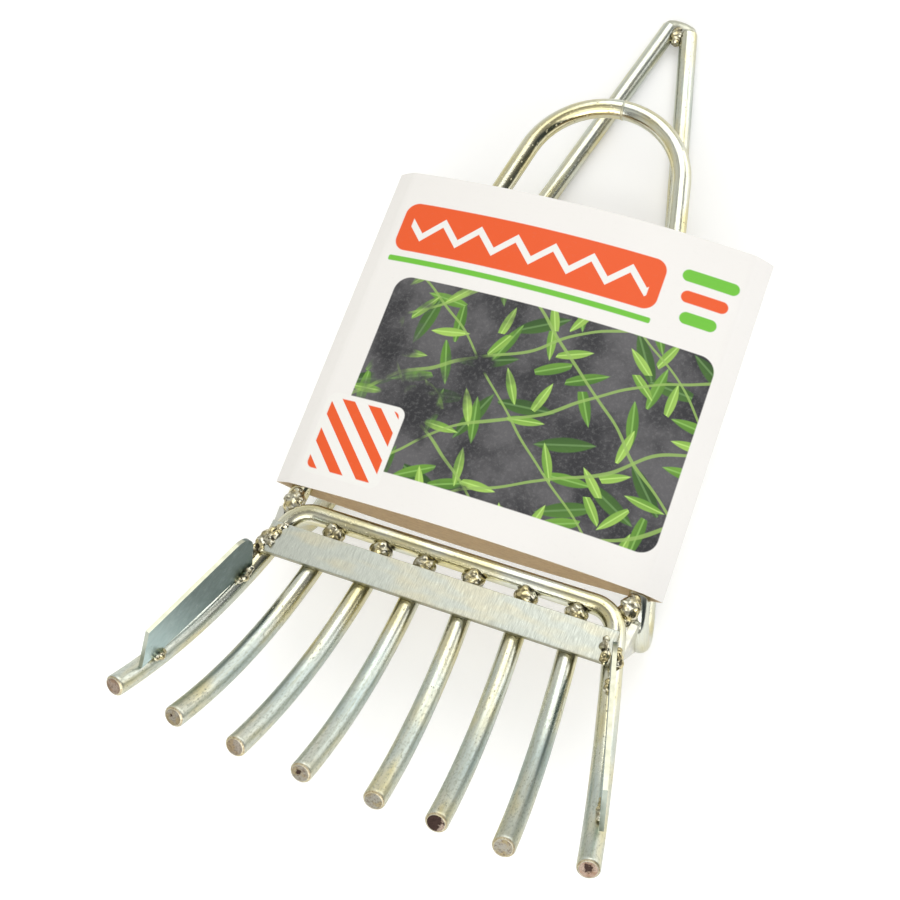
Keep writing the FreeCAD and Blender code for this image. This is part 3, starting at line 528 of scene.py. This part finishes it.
def tine_satin(world, along, total):
    out = -world[:, 1]
    return 0.25 + 0.65 * smoothstep(out, 18, 60)


def tine_tone(world, along, total):
    out = -world[:, 1]
    return 0.76 - 0.42 * smoothstep(out, 12, 48) + 0.32 * smoothstep(out, 50, 72)


rods.append(rod("comb_rod_bent", COMB, "comb_rod", 1.0,
                lambda w, a, t: 0.10 + 0.62 * smoothstep(-w[:, 1], 16, 60),
                lambda w, a, t: 0.85 - 0.35 * smoothstep(-w[:, 1], 8, 50), faces_look=((0.85, 0.10), (1.0, 0.44))))
LOOKS = dict(b=(0.25, 0.16), c=(0.45, 0.0), d=(0.25, 0.18), e=(0.15, 0.20), f=(0.9, 1.00), g=(0.20, 0.10))
for number, key in enumerate("bcdefg", start=2):
    rods.append(rod("inner_tine_%d_bent" % number, INNER[key], "inner_tine_%d" % number, float(number),
                    tine_satin, tine_tone, chamfer=(False, True), faces_look=((0, 0), LOOKS[key])))
for name, seed in (("left", 9.0), ("right", 10.0)):
    rods.append(rod("frame_wire_%s_bent" % name, WIREPATH[name], "frame_wire_" + name, seed,
                    lambda w, a, t: 0.02 + 0.35 * (smoothstep(w[:, 2], -20, -27)),
                    lambda w, a, t: 0.66 + 0.10 * np.sin(a * 0.045), chamfer=(False, True)))
ROD = rod_material()
for ob in rods:
    ob.data.materials.append(ROD)


# ---------------------------------------------------------------------------- welds
def near_rods(points):
    """Distance in mm from each point to the nearest rod surface, for the painted shade line where weld meets rod."""
    lo, hi = points.min(axis=0) - 8, points.max(axis=0) + 8
    best = np.full(len(points), 9.0)
    for path in [COMB] + list(INNER.values()) + list(WIREPATH.values()):
        near = path[((path > lo) & (path < hi)).all(axis=1)]
        if not len(near):
            continue
        for k in range(0, len(points), 4000):
            d = np.linalg.norm(points[k:k + 4000, None, :] - near[None, :, :], axis=2).min(axis=1) - WIRE
            best[k:k + 4000] = np.minimum(best[k:k + 4000], np.abs(d))
    return best


def weld(name, node, beads, seed, rough=0.24, voxel=0.20, flow=5):
    """Lumpy beads: balls joined by a voxel remesh, smoothed and then roughened."""
    me = bpy.data.meshes.new(name)
    ob = bpy.data.objects.new(name, me)
    bpy.context.scene.collection.objects.link(ob)
    import bmesh
    bm = bmesh.new()
    for balls in beads:
        for c, r in balls:
            bmesh.ops.create_icosphere(bm, subdivisions=3, radius=r / 1000.0,
                                       matrix=Matrix.Translation(Vector(mm(c))))
    bm.to_mesh(me)
    bm.free()
    m = ob.modifiers.new("union", "REMESH")
    m.mode = "VOXEL"
    m.voxel_size = voxel / 1000.0
    m = ob.modifiers.new("flow", "SMOOTH")
    m.factor, m.iterations = 0.5, flow
    dg = bpy.context.evaluated_depsgraph_get()
    done = bpy.data.meshes.new_from_object(ob.evaluated_get(dg), depsgraph=dg)
    ob.modifiers.clear()
    ob.data = done
    bpy.data.meshes.remove(me)
    done.name = name
    co = np.array([v.co for v in done.vertices])
    nn = np.array([v.normal for v in done.vertices])
    for i, (c, n) in enumerate(zip(co, nn)):
        q = Vector(c * 1000.0) + Vector((seed * 3.7, 0, 0))
        cells = noise.voronoi(q * 0.50)[0]
        swell = 1.0 - min(1.0, cells[0] * 1.25)
        k = 1.0 * noise.noise(q * 0.55) + 0.55 * swell - 0.75
        co[i] = c + n * (k * rough / 1000.0)
    done.vertices.foreach_set("co", co.ravel())
    done.update()
    # painted shade: the hollows between the lumps, and the line where the weld meets a rod, are marked dark
    edges = np.array([e.vertices[:] for e in done.edges])
    count = np.zeros(len(co))
    around = np.zeros_like(co)
    for a, b in ((0, 1), (1, 0)):
        np.add.at(count, edges[:, a], 1)
        np.add.at(around, edges[:, a], co[edges[:, b]])
    nn = np.array([v.normal for v in done.vertices])
    hollow = ((around / count[:, None] - co) * nn).sum(axis=1) * 1000.0 / voxel
    for _ in range(3):
        s = np.zeros(len(co))
        for a, b in ((0, 1), (1, 0)):
            np.add.at(s, edges[:, a], hollow[edges[:, b]])
        hollow = 0.5 * hollow + 0.5 * s / count
    meet = near_rods(co * 1000.0 + ORIGIN)
    broken = np.array([noise.noise(Vector(c * 1000.0) * 0.45 + Vector((0, seed, 0))) for c in co])
    low = np.clip(hollow * 14.0 - 0.10, 0, 1)
    low = np.maximum(low, (1 - smoothstep(meet, 0.10, 0.42)) * np.clip(0.95 + 1.6 * broken, 0.2, 1))
    done.shade_smooth()
    put_float(ob, "low", low)
    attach(ob, "rake")
    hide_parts(node)
    return ob


def string(middle, way, size, balls, spread=0.0):
    way = unit(way)
    side = unit(np.cross(way, vec(0, 0, 1)))
    return [(middle + way * s + side * spread * math.sin(i * 2.4), size * k) for i, (s, k) in enumerate(balls)]


welds = []
wobble = [(0.3, 0.2, 1.0), (-0.4, 0.0, 0.95), (0.2, -0.3, 1.04), (-0.2, 0.3, 0.97), (0.5, 0.1, 1.03), (-0.3, -0.2, 0.96)]
beads = []
for number, (key, (dx, dy, k)) in enumerate(zip("bcdefg", wobble), start=2):
    p, t, n = tine(key, 4.6)
    c = p + vec(dx * 0.5, dy - 0.2, 1.25)
    beads.append([
        (c + vec(-1.95, 0.3, -0.2), 1.75), (c + vec(-0.75, 0.1, 0.1), 2.6 * k), (c + vec(0.85, -0.1, 0.1), 2.5 * k),
        (c + vec(2.0, 0.5, -0.3), 1.65), (c + vec(0.2 + dx, -1.5, 0.9), 1.9), (c + vec(-0.3 - dx, 1.5, 0.8), 1.8),
        (c + vec(1.5, 1.4, 0.3), 1.25), (c + vec(-1.6, 1.2, 0.5), 1.15), (c + vec(-0.9, -1.3, 1.1), 1.1)])
welds.append(weld("tine_root_weld_beads", "tine_root_welds", beads, 1.0))

END_BEADS = {
    "left": ((12.6, -1.6, 5.1, [(-2.5, 0.72), (-0.7, 0.85), (1.5, 0.76)]),
             (15.5, 1.5, 3.2, [(-4.1, 0.84), (-2.0, 1.0), (0.3, 0.93), (2.5, 1.02), (4.3, 0.82)])),
    "right": ((13.6, -1.8, 5.2, [(-3.0, 0.84), (-1.0, 1.0), (1.2, 0.95), (3.0, 0.84)]),
              (14.8, 1.8, 3.3, [(-1.8, 0.74), (0.0, 0.92), (1.7, 0.92)]))}
for name, key, side in (("left", "a", -1), ("right", "h", 1)):
    beads = []
    for run, out, high, balls in END_BEADS[name]:
        p, t, n = tine(key, run, LIFT[key])
        aside = unit(np.cross(t, n))
        if aside[0] * side < 0:
            aside = -aside
        middle = p + n * high + aside * out
        lumps = string(middle, t, 1.75, balls, 0.25)
        lumps += [(middle + t * (q + 0.9) + n * 0.75 + aside * (0.8 * math.sin(i * 2.1)), 0.95 + 0.2 * math.cos(i * 1.7))
                  for i, (q, k) in enumerate(balls)]
        if out < 0 and name == "left":
            for i, (q, w, r) in enumerate(((-5.0, -0.7, 1.3), (-3.6, 0.5, 1.6), (-1.8, 1.6, 1.7), (0.4, 2.6, 1.7), (2.6, 3.0, 1.6),
                                           (-2.6, 0.2, 1.5), (-0.8, 0.8, 1.6), (1.2, 1.4, 1.6), (3.2, 1.7, 1.5), (4.6, 0.8, 1.2))):
                lumps.append((middle + t * q + aside * w - n * (0.25 + 0.12 * w), r))
        beads.append(lumps)
    welds.append(weld("strap_end_beads_" + name, "strap_end_weld_" + name, beads, 2.0 + side, rough=0.42, flow=8))

for name, side in (("left", -1), ("right", 1)):
    c = vec(side * 51.5, 2.0, -2.1)
    balls = [(c + vec(-side * 0.4, -3.1, 0.0), 2.35), (c + vec(-side * 0.1, -1.2, 0.2), 3.2), (c + vec(side * 0.2, 1.0, 0.0), 3.1),
             (c + vec(side * 0.4, 3.0, -0.2), 2.2), (c + vec(side * 1.9, 0.4, 1.6), 1.5), (c + vec(-side * 1.6, 0.9, 1.7), 1.4),
             (c + vec(side * 0.3, -2.3, 2.0), 1.3)]
    welds.append(weld("corner_beads_" + name, "corner_weld_" + name, [balls], 5.0 + side))

# side plates: the same seats as in the CAD part
PLATE = {}
for name, key, side, lean, toe, off, start, length in (("left", "a", -1, -3.5, -1.2, -0.3, 22.2, 45.9),
                                                       ("right", "h", 1, 6.0, 1.7, 0.35, 17.4, 50.7)):
    lift = LIFT[key]
    p0, t0, n0 = tine(key, start, lift)
    run = start + length * 1.01
    for _ in range(20):
        p1, t1, n1 = tine(key, run, lift)
        a_pt = p0 + n0 * (WIRE + 0.04)
        b_pt = p1 + n1 * (WIRE + 0.04)
        run += length - np.linalg.norm(b_pt - a_pt)
    outward = unit(np.cross(vec(0, 0, 1), t0))
    if outward[0] * side < 0:
        outward = -outward
    a_pt = a_pt + outward * off
    b_pt = b_pt + outward * (off + toe)
    ax = unit(b_pt - a_pt)
    PLATE[name] = (a_pt, b_pt, ax)
TACKS = (("left", "rear", 4.2, 1.2, [(-2.7, 0.62), (-1.2, 0.82), (0.6, 0.86), (2.4, 0.70)]),
         ("left", "front", 6.7, 1.1, [(-1.4, 0.58), (0.1, 0.78), (1.5, 0.60)]),
         ("right", "rear", 6.2, 0.85, [(-1.1, 0.66), (0.7, 0.74)]),
         ("right", "front", 6.8, 0.55, [(-3.3, 0.52), (-1.8, 0.70), (0.0, 0.64), (1.7, 0.72), (3.1, 0.55)]))
beads = []
for name, tag, far, off, balls in TACKS:
    side = -1 if name == "left" else 1
    a_pt, b_pt, ax = PLATE[name]
    at, fwd = (a_pt, ax) if tag == "rear" else (b_pt, -ax)
    inner = vec(-side, 0, 0)
    inner = unit(inner - ax * float(inner @ ax))
    middle = at + fwd * far + inner * off
    key = "a" if name == "left" else "h"
    best = min((tine(key, r * 0.25, LIFT[key]) for r in range(60, 300)), key=lambda q: np.linalg.norm(q[0] - middle))
    gap = float((middle - best[0]) @ best[2]) - WIRE
    middle = middle - best[2] * max(0.0, gap * 0.5 + 0.1)
    beads.append(string(middle, best[1] * (1 if tag == "rear" else -1), 1.9, balls, 0.2))
welds.append(weld("plate_tack_beads", "plate_tack_welds", beads, 8.0, rough=0.26))

c = vec(0.1, 204.9, REAR_Z + 0.45)
balls = [(c + vec(0, -1.4, 0), 2.15), (c + vec(0, 0.3, 0), 2.55), (c + vec(0, 1.9, 0), 2.65), (c + vec(-1.1, -0.4, 1.2), 1.25),
         (c + vec(1.0, 0.2, 1.35), 1.2), (c + vec(-0.5, 1.5, 1.5), 1.15), (c + vec(0.9, -1.7, 0.7), 1.1)]
welds.append(weld("apex_beads", "apex_weld", [balls], 11.0, rough=0.26))
c, way = vec(0.1, 208.15, REAR_Z + 0.10), unit(vec(1, -0.16, 0))
balls = [(c + way * k * 0.5, 2.98 * (1.0 - 0.0032 * k * k)) for k in range(-7, 8)]
welds.append(weld("apex_end_melt", "apex_end_weld", [balls], 12.0, rough=0.10, flow=10))
WELD = weld_material()
for ob in welds:
    ob.data.materials.append(WELD)

# CAD pieces that keep their shape
# the strap's sides and underside get a dark brown as painted shade
STRAP = sheet_material("plated_strap", (0.505, 0.53, 0.475), (5.5, 0.35, 0.6), 0.46, (0.58, 0.555, 0.425), ((0.25, 0.235, 0.15), 0))
# the plates' upward faces, their top edges, get a pale colour as a painted highlight
PLATES = sheet_material("plated_plate", (0.46, 0.60, 0.59), (0.4, 0.4, 0.7), 0.06, (0.50, 0.63, 0.615), ((0.60, 0.59, 0.46), 0.5),
                        (0.10, 0.15, 0.142))
GUSSET = sheet_material("plated_gusset", (0.60, 0.60, 0.55), (0.5, 0.5, 0.9), 0.16, (0.64, 0.63, 0.53))
for node, mat in (("cross_strap", STRAP), ("side_plate_left", PLATES), ("side_plate_right", PLATES),
                  ("gusset_left", GUSSET), ("gusset_right", GUSSET)):
    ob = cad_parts[node]
    ob.data.materials.clear()
    ob.data.materials.append(mat)
CAP = sheet_material("melted_end", (0.50, 0.50, 0.41), (0.5, 0.5, 0.9), 0.10, (0.56, 0.53, 0.38))
welds[-1].data.materials.clear()
welds[-1].data.materials.append(CAP)
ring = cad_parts["arch_butt_weld"]
ring.data.materials.clear()
ring.data.materials.append(CAP)

# ---------------------------------------------------------------------- card sleeve
SL = dict(width=120.2, length=106.5, run=7.4, rise=9.8, card=0.5, sx=54.8, sz=4.05, shift=-0.8, lift=0.15)
S_ORIGIN = vec(SL["shift"], 0, LEG_Z) + ES * SL["run"] + NZ * SL["lift"]


def outline(fx, sx, sz, cz, fold):
    """Half outline of the flattened tube, from the left fold over the top to the right fold."""
    r = (sx * sx + (cz - sz) ** 2) / (2 * (cz - sz))
    phi = math.asin(sx / r)
    pts = [vec(-fx, 0, 0)]
    for k in range(1, 8):
        q = k / 8
        x = -fx + (fx - sx) * q
        z = sz * (q ** fold)
        pts.append(vec(x, 0, z))
    for k in range(61):
        w = -phi + 2 * phi * k / 60
        pts.append(vec(r * math.sin(w), 0, cz - r + r * math.cos(w)))
    for k in range(1, 8):
        q = 1 - k / 8
        x = fx - (fx - sx) * q
        z = sz * (q ** fold)
        pts.append(vec(x, 0, z))
    pts.append(vec(fx, 0, 0))
    return np.array(pts)


def sleeve():
    card = SL["card"]
    outer = outline(SL["width"] / 2, SL["sx"], SL["sz"], SL["rise"], 0.86)
    inner = outline(SL["width"] / 2 - card * 1.7, SL["sx"] - card * 0.35, SL["sz"] - card * 0.95, SL["rise"] - card, 0.86)
    count = len(outer)
    rows = 72
    verts, uv, faces, mats = [], [], [], []

    def loop(points):
        top = points
        bottom = points[::-1][1:-1] * np.array([1, 1, -1])
        return np.concatenate([top, bottom])

    def wave(x, s, z, z_sign):
        """Slight hand-folded unevenness of the card, none where it lies on the wires."""
        free = max(0.0, 1 - (x / 44.0) ** 4) if abs(x) < 44 else 0.0
        k = noise.noise(Vector((x * 0.022 + 3.1, s * 0.026, 0.5 + z_sign))) * 0.42
        return k * free

    lo, li = loop(outer), loop(inner)
    total = len(lo)
    per = []
    for lp in (lo, li):
        per.append(np.concatenate([[0], np.cumsum(np.linalg.norm(np.diff(lp, axis=0), axis=1))]))
    for which, lp in enumerate((lo, li)):
        for k in range(rows + 1):
            s = SL["length"] * k / rows
            for j, q in enumerate(lp):
                sign = 1 if j < count else -1
                d = wave(q[0], s, q[2], sign)
                w = S_ORIGIN + vec(1, 0, 0) * q[0] + ES * s + NZ * (q[2] - abs(d) * (1 if q[2] > 0 else -1))
                verts.append(mm(w))
                uv.append((q[0], s, 1.0 if j < count else -1.0))
    block = (rows + 1) * total
    for which in (0, 1):
        for k in range(rows):
            for j in range(total):
                a = which * block + k * total + j
                b = which * block + k * total + (j + 1) % total
                f = (a, a + total, b + total, b)
                faces.append(f if which == 0 else f[::-1])
                mats.append((0 if j < count - 1 else 1) if which == 0 else 2)
    for k in (0, rows):
        for j in range(total):
            a, b = k * total + j, k * total + (j + 1) % total
            f = (a, b, b + block, a + block)
            faces.append(f if k == 0 else f[::-1])
            mats.append(3)
    ob = new_object("card_sleeve_folded", verts, faces, "sleeve", ("card_sleeve",), sharp=40)
    for poly, m in zip(ob.data.polygons, mats):
        poly.material_index = m
    put_vector(ob, "print", np.array(uv))
    return ob


CARD = sleeve()


def card_surface(t, p, base, color=None):
    """Coated card: faint fibre, slight marks and soft gloss."""
    fibre = t.noise(t.mapping(p, scale=(0.5, 0.8, 1)), 1.2, 4.0, 0.6)
    cloud = t.noise(p, 0.03, 3.0, 0.5)
    c = t.mix(t.ramp(cloud, 0.35, 0.7, 0.0, 0.5), base, tuple(0.965 * x for x in base))
    if color is not None:
        c = color(c)
    c = t.mix(t.math("MULTIPLY", t.ramp(fibre, 0.55, 0.8), 0.05), c, (0.45, 0.42, 0.38))
    return c, fibre


def print_material():
    t = Tree("card_print")
    p = t.attr("print", "Vector")
    sep = t.node("ShaderNodeSeparateXYZ")
    t.link(p, sep.inputs[0])
    x, y = sep.outputs[0], sep.outputs[1]

    def mask(d, soft=0.16):
        return t.ramp(d, -soft, soft, 1.0, 0.0, smooth=False)

    def rbox(cx, cy, hx, hy, r):
        qx = t.math("SUBTRACT", t.math("ABSOLUTE", t.math("SUBTRACT", x, cx)), hx - r)
        qy = t.math("SUBTRACT", t.math("ABSOLUTE", t.math("SUBTRACT", y, cy)), hy - r)
        ox, oy = t.math("MAXIMUM", qx, 0.0), t.math("MAXIMUM", qy, 0.0)
        far = t.math("SQRT", t.math("ADD", t.math("MULTIPLY", ox, ox), t.math("MULTIPLY", oy, oy)))
        near = t.math("MINIMUM", t.math("MAXIMUM", qx, qy), 0.0)
        return t.math("SUBTRACT", t.math("ADD", far, near), r)

    def circle(cx, cy, r):
        dx, dy = t.math("SUBTRACT", x, cx), t.math("SUBTRACT", y, cy)
        return t.math("SUBTRACT", t.math("SQRT", t.math("ADD", t.math("MULTIPLY", dx, dx), t.math("MULTIPLY", dy, dy))), r)

    def leaves(size, half_len, half_wid, seed, dark, light):
        """One layer of scattered plain leaves: colour and mask."""
        v = t.mapping(p, loc=(seed * 13.7, seed * 5.1, 0), rot=(0, 0, seed * 0.7), scale=(1 / size, 1 / size, 0))
        n = t.voronoi(v, 1.0, out=None, dims="2D", rand=0.85)
        local = t.vmath("SUBTRACT", v, n.outputs["Position"])
        cs = t.node("ShaderNodeSeparateColor")
        t.link(n.outputs["Color"], cs.inputs[0])
        angle = t.math("MULTIPLY_ADD", cs.outputs[0], 2.6, seed)
        rot = t.node("ShaderNodeVectorRotate", rotation_type="Z_AXIS")
        t.link(local, rot.inputs["Vector"])
        t.link(angle, rot.inputs["Angle"])
        s = t.node("ShaderNodeSeparateXYZ")
        t.link(rot.outputs[0], s.inputs[0])
        lx, ly = s.outputs[0], s.outputs[1]
        radius = (half_len ** 2 + half_wid ** 2) / (2 * half_wid)
        offset = radius - half_wid
        ax_ = t.math("ADD", t.math("ABSOLUTE", ly), offset)
        d = t.math("SUBTRACT", t.math("SQRT", t.math("ADD", t.math("MULTIPLY", lx, lx), t.math("MULTIPLY", ax_, ax_))), radius)
        inside = t.ramp(d, -0.012, 0.012, 1.0, 0.0, smooth=False)
        vein = t.ramp(t.math("ABSOLUTE", ly), 0.008, 0.026, 1.0, 0.0)
        shade = t.ramp(ly, -half_wid, half_wid)
        col = t.mix(t.math("MULTIPLY_ADD", cs.outputs[1], 0.6, t.math("MULTIPLY", shade, 0.4)), dark, light)
        col = t.mix(t.math("MULTIPLY", vein, 0.5), col, tuple(min(1.0, 1.35 * a + 0.08) for a in light))
        keep = t.math("GREATER_THAN", cs.outputs[2], 0.22)
        return col, t.math("MULTIPLY", inside, keep)

    def paint(c):
        panel = rbox(4.0, 41.0, 50.0, 30.5, 5.0)
        cloud = t.noise(p, 0.045, 4.0, 0.55)
        ground = t.mix(t.ramp(cloud, 0.38, 0.62), (0.030, 0.030, 0.034), (0.115, 0.112, 0.118))
        ground = t.mix(t.math("MULTIPLY", t.ramp(t.noise(p, 0.9, 3.0, 0.7), 0.45, 0.75), 0.35), ground, (0.20, 0.20, 0.20))
        area = t.ramp(t.math("ADD", cloud, t.math("MULTIPLY", t.math("SUBTRACT", x, -8.0), 0.0042)), 0.36, 0.50)
        for size, hl, hw, seed, dark, light in (
                (17.0, 0.52, 0.13, 1.0, (0.030, 0.075, 0.020), (0.085, 0.20, 0.035)),
                (14.0, 0.52, 0.12, 2.3, (0.065, 0.17, 0.025), (0.19, 0.40, 0.055)),
                (12.0, 0.50, 0.115, 4.1, (0.13, 0.30, 0.04), (0.38, 0.60, 0.12))):
            col, m = leaves(size, hl, hw, seed, dark, light)
            ground = t.mix(t.math("MULTIPLY", m, area), ground, col)
        # thin pale stalks across the panel
        for k, (slope, place, gap) in enumerate(((0.55, 6.0, 23.0), (-0.9, 2.0, 31.0))):
            bend = t.math("MULTIPLY", t.noise(p, 0.03, 1.0, 0.4), 16.0)
            w = t.math("ADD", t.math("SUBTRACT", y, t.math("MULTIPLY", x, slope)), t.math("ADD", bend, place))
            band = t.math("ABSOLUTE", t.math("SUBTRACT", t.math("MODULO", t.math("ADD", w, 400.0), gap), gap / 2))
            ground = t.mix(t.math("MULTIPLY", t.ramp(band, 0.35, 0.65, 0.8, 0.0), area), ground, (0.30, 0.47, 0.12))
        c = t.mix(mask(panel), c, ground)
        orange, green = (0.80, 0.105, 0.022), (0.16, 0.52, 0.045)
        # ribbon with a white zigzag
        ribbon = rbox(-10.0, 88.0, 42.0, 8.2, 4.0)
        c = t.mix(mask(ribbon), c, orange)
        saw = t.math("PINGPONG", t.math("ADD", x, 200.0), 6.0)
        zig = t.math("ABSOLUTE", t.math("SUBTRACT", t.math("SUBTRACT", y, 85.0), saw))
        c = t.mix(t.math("MULTIPLY", t.ramp(zig, 1.25, 1.55, 1.0, 0.0, smooth=False), mask(rbox(-10.0, 88.0, 38.5, 6.2, 2.0))), c, (0.84, 0.83, 0.80))
        c = t.mix(mask(rbox(-10.0, 76.8, 42.0, 0.9, 0.6)), c, green)
        # green drop shapes in a row at the right
        for k, yy in enumerate((94.0, 87.5, 81.0)):
            c = t.mix(mask(rbox(45.0, yy, 8.5 - 1.5 * k, 1.9, 1.9)), c, green if k != 1 else orange)
        # striped tile over the panel's lower left corner
        c = t.mix(mask(rbox(-40.0, 17.5, 13.0, 13.0, 3.0)), c, (0.85, 0.84, 0.81))
        diagonal = t.math("PINGPONG", t.math("ADD", t.math("ADD", x, y), 400.0), 4.4)
        stripes = t.math("MULTIPLY", t.ramp(diagonal, 2.1, 2.3, 0.0, 1.0, smooth=False), mask(rbox(-40.0, 17.5, 11.4, 11.4, 2.0)))
        c = t.mix(stripes, c, orange)
        return c

    c, fibre = card_surface(t, p, (0.845, 0.825, 0.80), paint)
    n = t.bump(fibre, 0.06, 0.00005)
    n = t.bump(t.noise(p, 0.06, 2.0, 0.5), 0.25, 0.0006, n)
    return t.set(color=c, rough=t.ramp(fibre, 0.3, 0.8, 0.42, 0.52), metal=0.0, normal=n, spec=0.30, coat=0.05, coat_rough=0.25)


def back_material():
    t = Tree("card_back")
    p = t.attr("print", "Vector")
    c, fibre = card_surface(t, p, (0.845, 0.825, 0.80))
    n = t.bump(fibre, 0.08, 0.00005)
    return t.set(color=c, rough=t.ramp(fibre, 0.3, 0.8, 0.34, 0.46), metal=0.0, normal=n)


def kraft_material(name, base, dark):
    t = Tree(name)
    p = t.attr("print", "Vector")
    fibre = t.noise(t.mapping(p, scale=(0.35, 2.4, 1)), 1.4, 5.0, 0.68)
    speck = t.ramp(t.noise(p, 2.1, 3.0, 0.6), 0.62, 0.75)
    c = t.mix(t.ramp(fibre, 0.35, 0.68), base, dark)
    c = t.mix(t.math("MULTIPLY", speck, 0.35), c, tuple(0.45 * x for x in dark))
    n = t.bump(fibre, 0.35, 0.00008)
    return t.set(color=c, rough=t.ramp(fibre, 0.3, 0.8, 0.72, 0.88), metal=0.0, normal=n)


for m in (print_material(), back_material(), kraft_material("card_kraft", (0.88, 0.72, 0.50), (0.78, 0.62, 0.42)),
          kraft_material("card_cut_edge", (0.66, 0.58, 0.47), (0.52, 0.43, 0.32))):
    CARD.data.materials.append(m)

# ------------------------------------------------------------------- floor and light
me = bpy.data.meshes.new("floor")
me.from_pydata([(-3, -3, 0), (3, -3, 0), (3, 3, 0), (-3, 3, 0)], [], [(0, 1, 2, 3)])
floor = bpy.data.objects.new("floor", me)
bpy.context.scene.collection.objects.link(floor)
floor.location.z = BOX_BEFORE[0][2] - 0.0003
t = Tree("floor_pale")
p = t.node("ShaderNodeTexCoord").outputs["Object"]
t.set(color=t.mix(t.noise(p, 2.0, 2.0, 0.5), (0.90, 0.90, 0.90), (0.92, 0.92, 0.915)), rough=0.9, metal=0.0, spec=0.1)
t.bsdf.inputs["Emission Color"].default_value = (1, 1, 1, 1)
t.bsdf.inputs["Emission Strength"].default_value = 0.18
me.materials.append(t.mat)


def area(name, place, target, size, power, color=(1, 1, 1), size_y=None):
    d = bpy.data.lights.new(name, "AREA")
    d.shape = "RECTANGLE"
    d.size, d.size_y = size, size_y or size
    d.energy = power
    d.color = color
    o = bpy.data.objects.new(name, d)
    bpy.context.scene.collection.objects.link(o)
    o.location = place
    o.rotation_mode = "QUATERNION"
    o.rotation_quaternion = (Vector(target) - Vector(place)).to_track_quat("-Z", "Y")
    return o


area("softbox_main", (0.02, 0.98, 1.20), (0, 0.03, 0), 1.15, 7.6, (1.0, 0.997, 0.985), 1.30)
area("softbox_back_right", (1.00, 0.94, 0.34), (0, 0, 0.03), 1.05, 4.6, (1.0, 1.0, 1.0), 0.85)
area("fill_front_high", (0.42, -1.00, 1.10), (0, 0, 0), 1.6, 9.8, (1.0, 0.995, 0.99), 1.2)
area("fill_front", (0.25, -1.12, 0.52), (0, -0.05, 0), 1.3, 7.2, (1.0, 0.99, 0.98), 0.60)

# room: dim walls near the horizon, warm-dark on the left and cool-dark on the right, pale ceiling
world = bpy.data.worlds.new("studio")
bpy.context.scene.world = world
world.use_nodes = True
wt = world.node_tree
wt.nodes.clear()
wo = wt.nodes.new("ShaderNodeOutputWorld")
bg = wt.nodes.new("ShaderNodeBackground")
co = wt.nodes.new("ShaderNodeTexCoord")
sp = wt.nodes.new("ShaderNodeSeparateXYZ")
rp = wt.nodes.new("ShaderNodeValToRGB")
wt.links.new(co.outputs["Generated"], sp.inputs[0])
lift = wt.nodes.new("ShaderNodeMapRange")
wt.links.new(sp.outputs[2], lift.inputs[0])
lift.inputs[1].default_value, lift.inputs[2].default_value = -0.2, 1.0
lift.inputs[3].default_value, lift.inputs[4].default_value = 0.0, 1.0
wt.links.new(lift.outputs[0], rp.inputs[0])
els = rp.color_ramp.elements
els[0].position, els[0].color = 0.0, (0.80, 0.80, 0.80, 1)
els[1].position, els[1].color = 1.0, (0.34, 0.34, 0.34, 1)
for at, v in ((0.145, 0.55), (0.19, 0.16), (0.45, 0.17), (0.75, 0.24)):
    e = els.new(at)
    e.color = (v, v, v, 1)


def blend(before, amount, value):
    n = wt.nodes.new("ShaderNodeMix")
    n.data_type = "RGBA"
    wt.links.new(amount, n.inputs[0])
    wt.links.new(before, n.inputs[6])
    n.inputs[7].default_value = value
    return n.outputs[2]


def fade(source, lo, hi):
    n = wt.nodes.new("ShaderNodeMapRange")
    n.interpolation_type = "SMOOTHSTEP"
    wt.links.new(source, n.inputs[0])
    n.inputs[1].default_value, n.inputs[2].default_value = lo, hi
    return n.outputs[0]


def product(a, b):
    n = wt.nodes.new("ShaderNodeMath")
    n.operation = "MULTIPLY"
    wt.links.new(a, n.inputs[0])
    wt.links.new(b, n.inputs[1])
    return n.outputs[0]


x, y, z = sp.outputs
look = rp.outputs[0]
look = blend(look, fade(x, -0.30, -0.62), (0.72, 0.71, 0.655, 1))
look = blend(look, product(fade(y, 0.25, 0.75), fade(x, 0.75, 0.35)), (0.80, 0.81, 0.785, 1))
look = blend(look, product(fade(z, 0.80, 0.92), fade(y, 0.10, -0.30)), (0.80, 0.80, 0.78, 1))
look = blend(look, product(product(fade(x, 0.50, 0.75), fade(y, 0.34, 0.05)), fade(z, -0.3, 0.1)), (0.05, 0.06, 0.065, 1))
wt.links.new(look, bg.inputs[0])
bg.inputs[1].default_value = 1.0
wt.links.new(bg.outputs[0], wo.inputs[0])

# ---------------------------------------------------------------------------- camera
cam_data = bpy.data.cameras.new("camera")
cam_data.lens, cam_data.sensor_width = 58.876, 36.0
cam_data.clip_start, cam_data.clip_end = 0.01, 20.0
cam = bpy.data.objects.new("camera", cam_data)
bpy.context.scene.collection.objects.link(cam)
R = Vector((0.92185815, 0.35297536, -0.15995609))
U = Vector((-0.27454767, 0.88617512, 0.37325223))
F = Vector((-0.27349795, 0.30017004, -0.91383632))
m = Matrix((R, U, -F)).transposed().to_4x4()
m.translation = Vector((0.104225, -0.166812, 0.422568))
cam.matrix_world = m
bpy.context.scene.camera = cam
bpy.context.scene.view_settings.view_transform = "Standard"
bpy.context.scene.view_settings.look = "None"
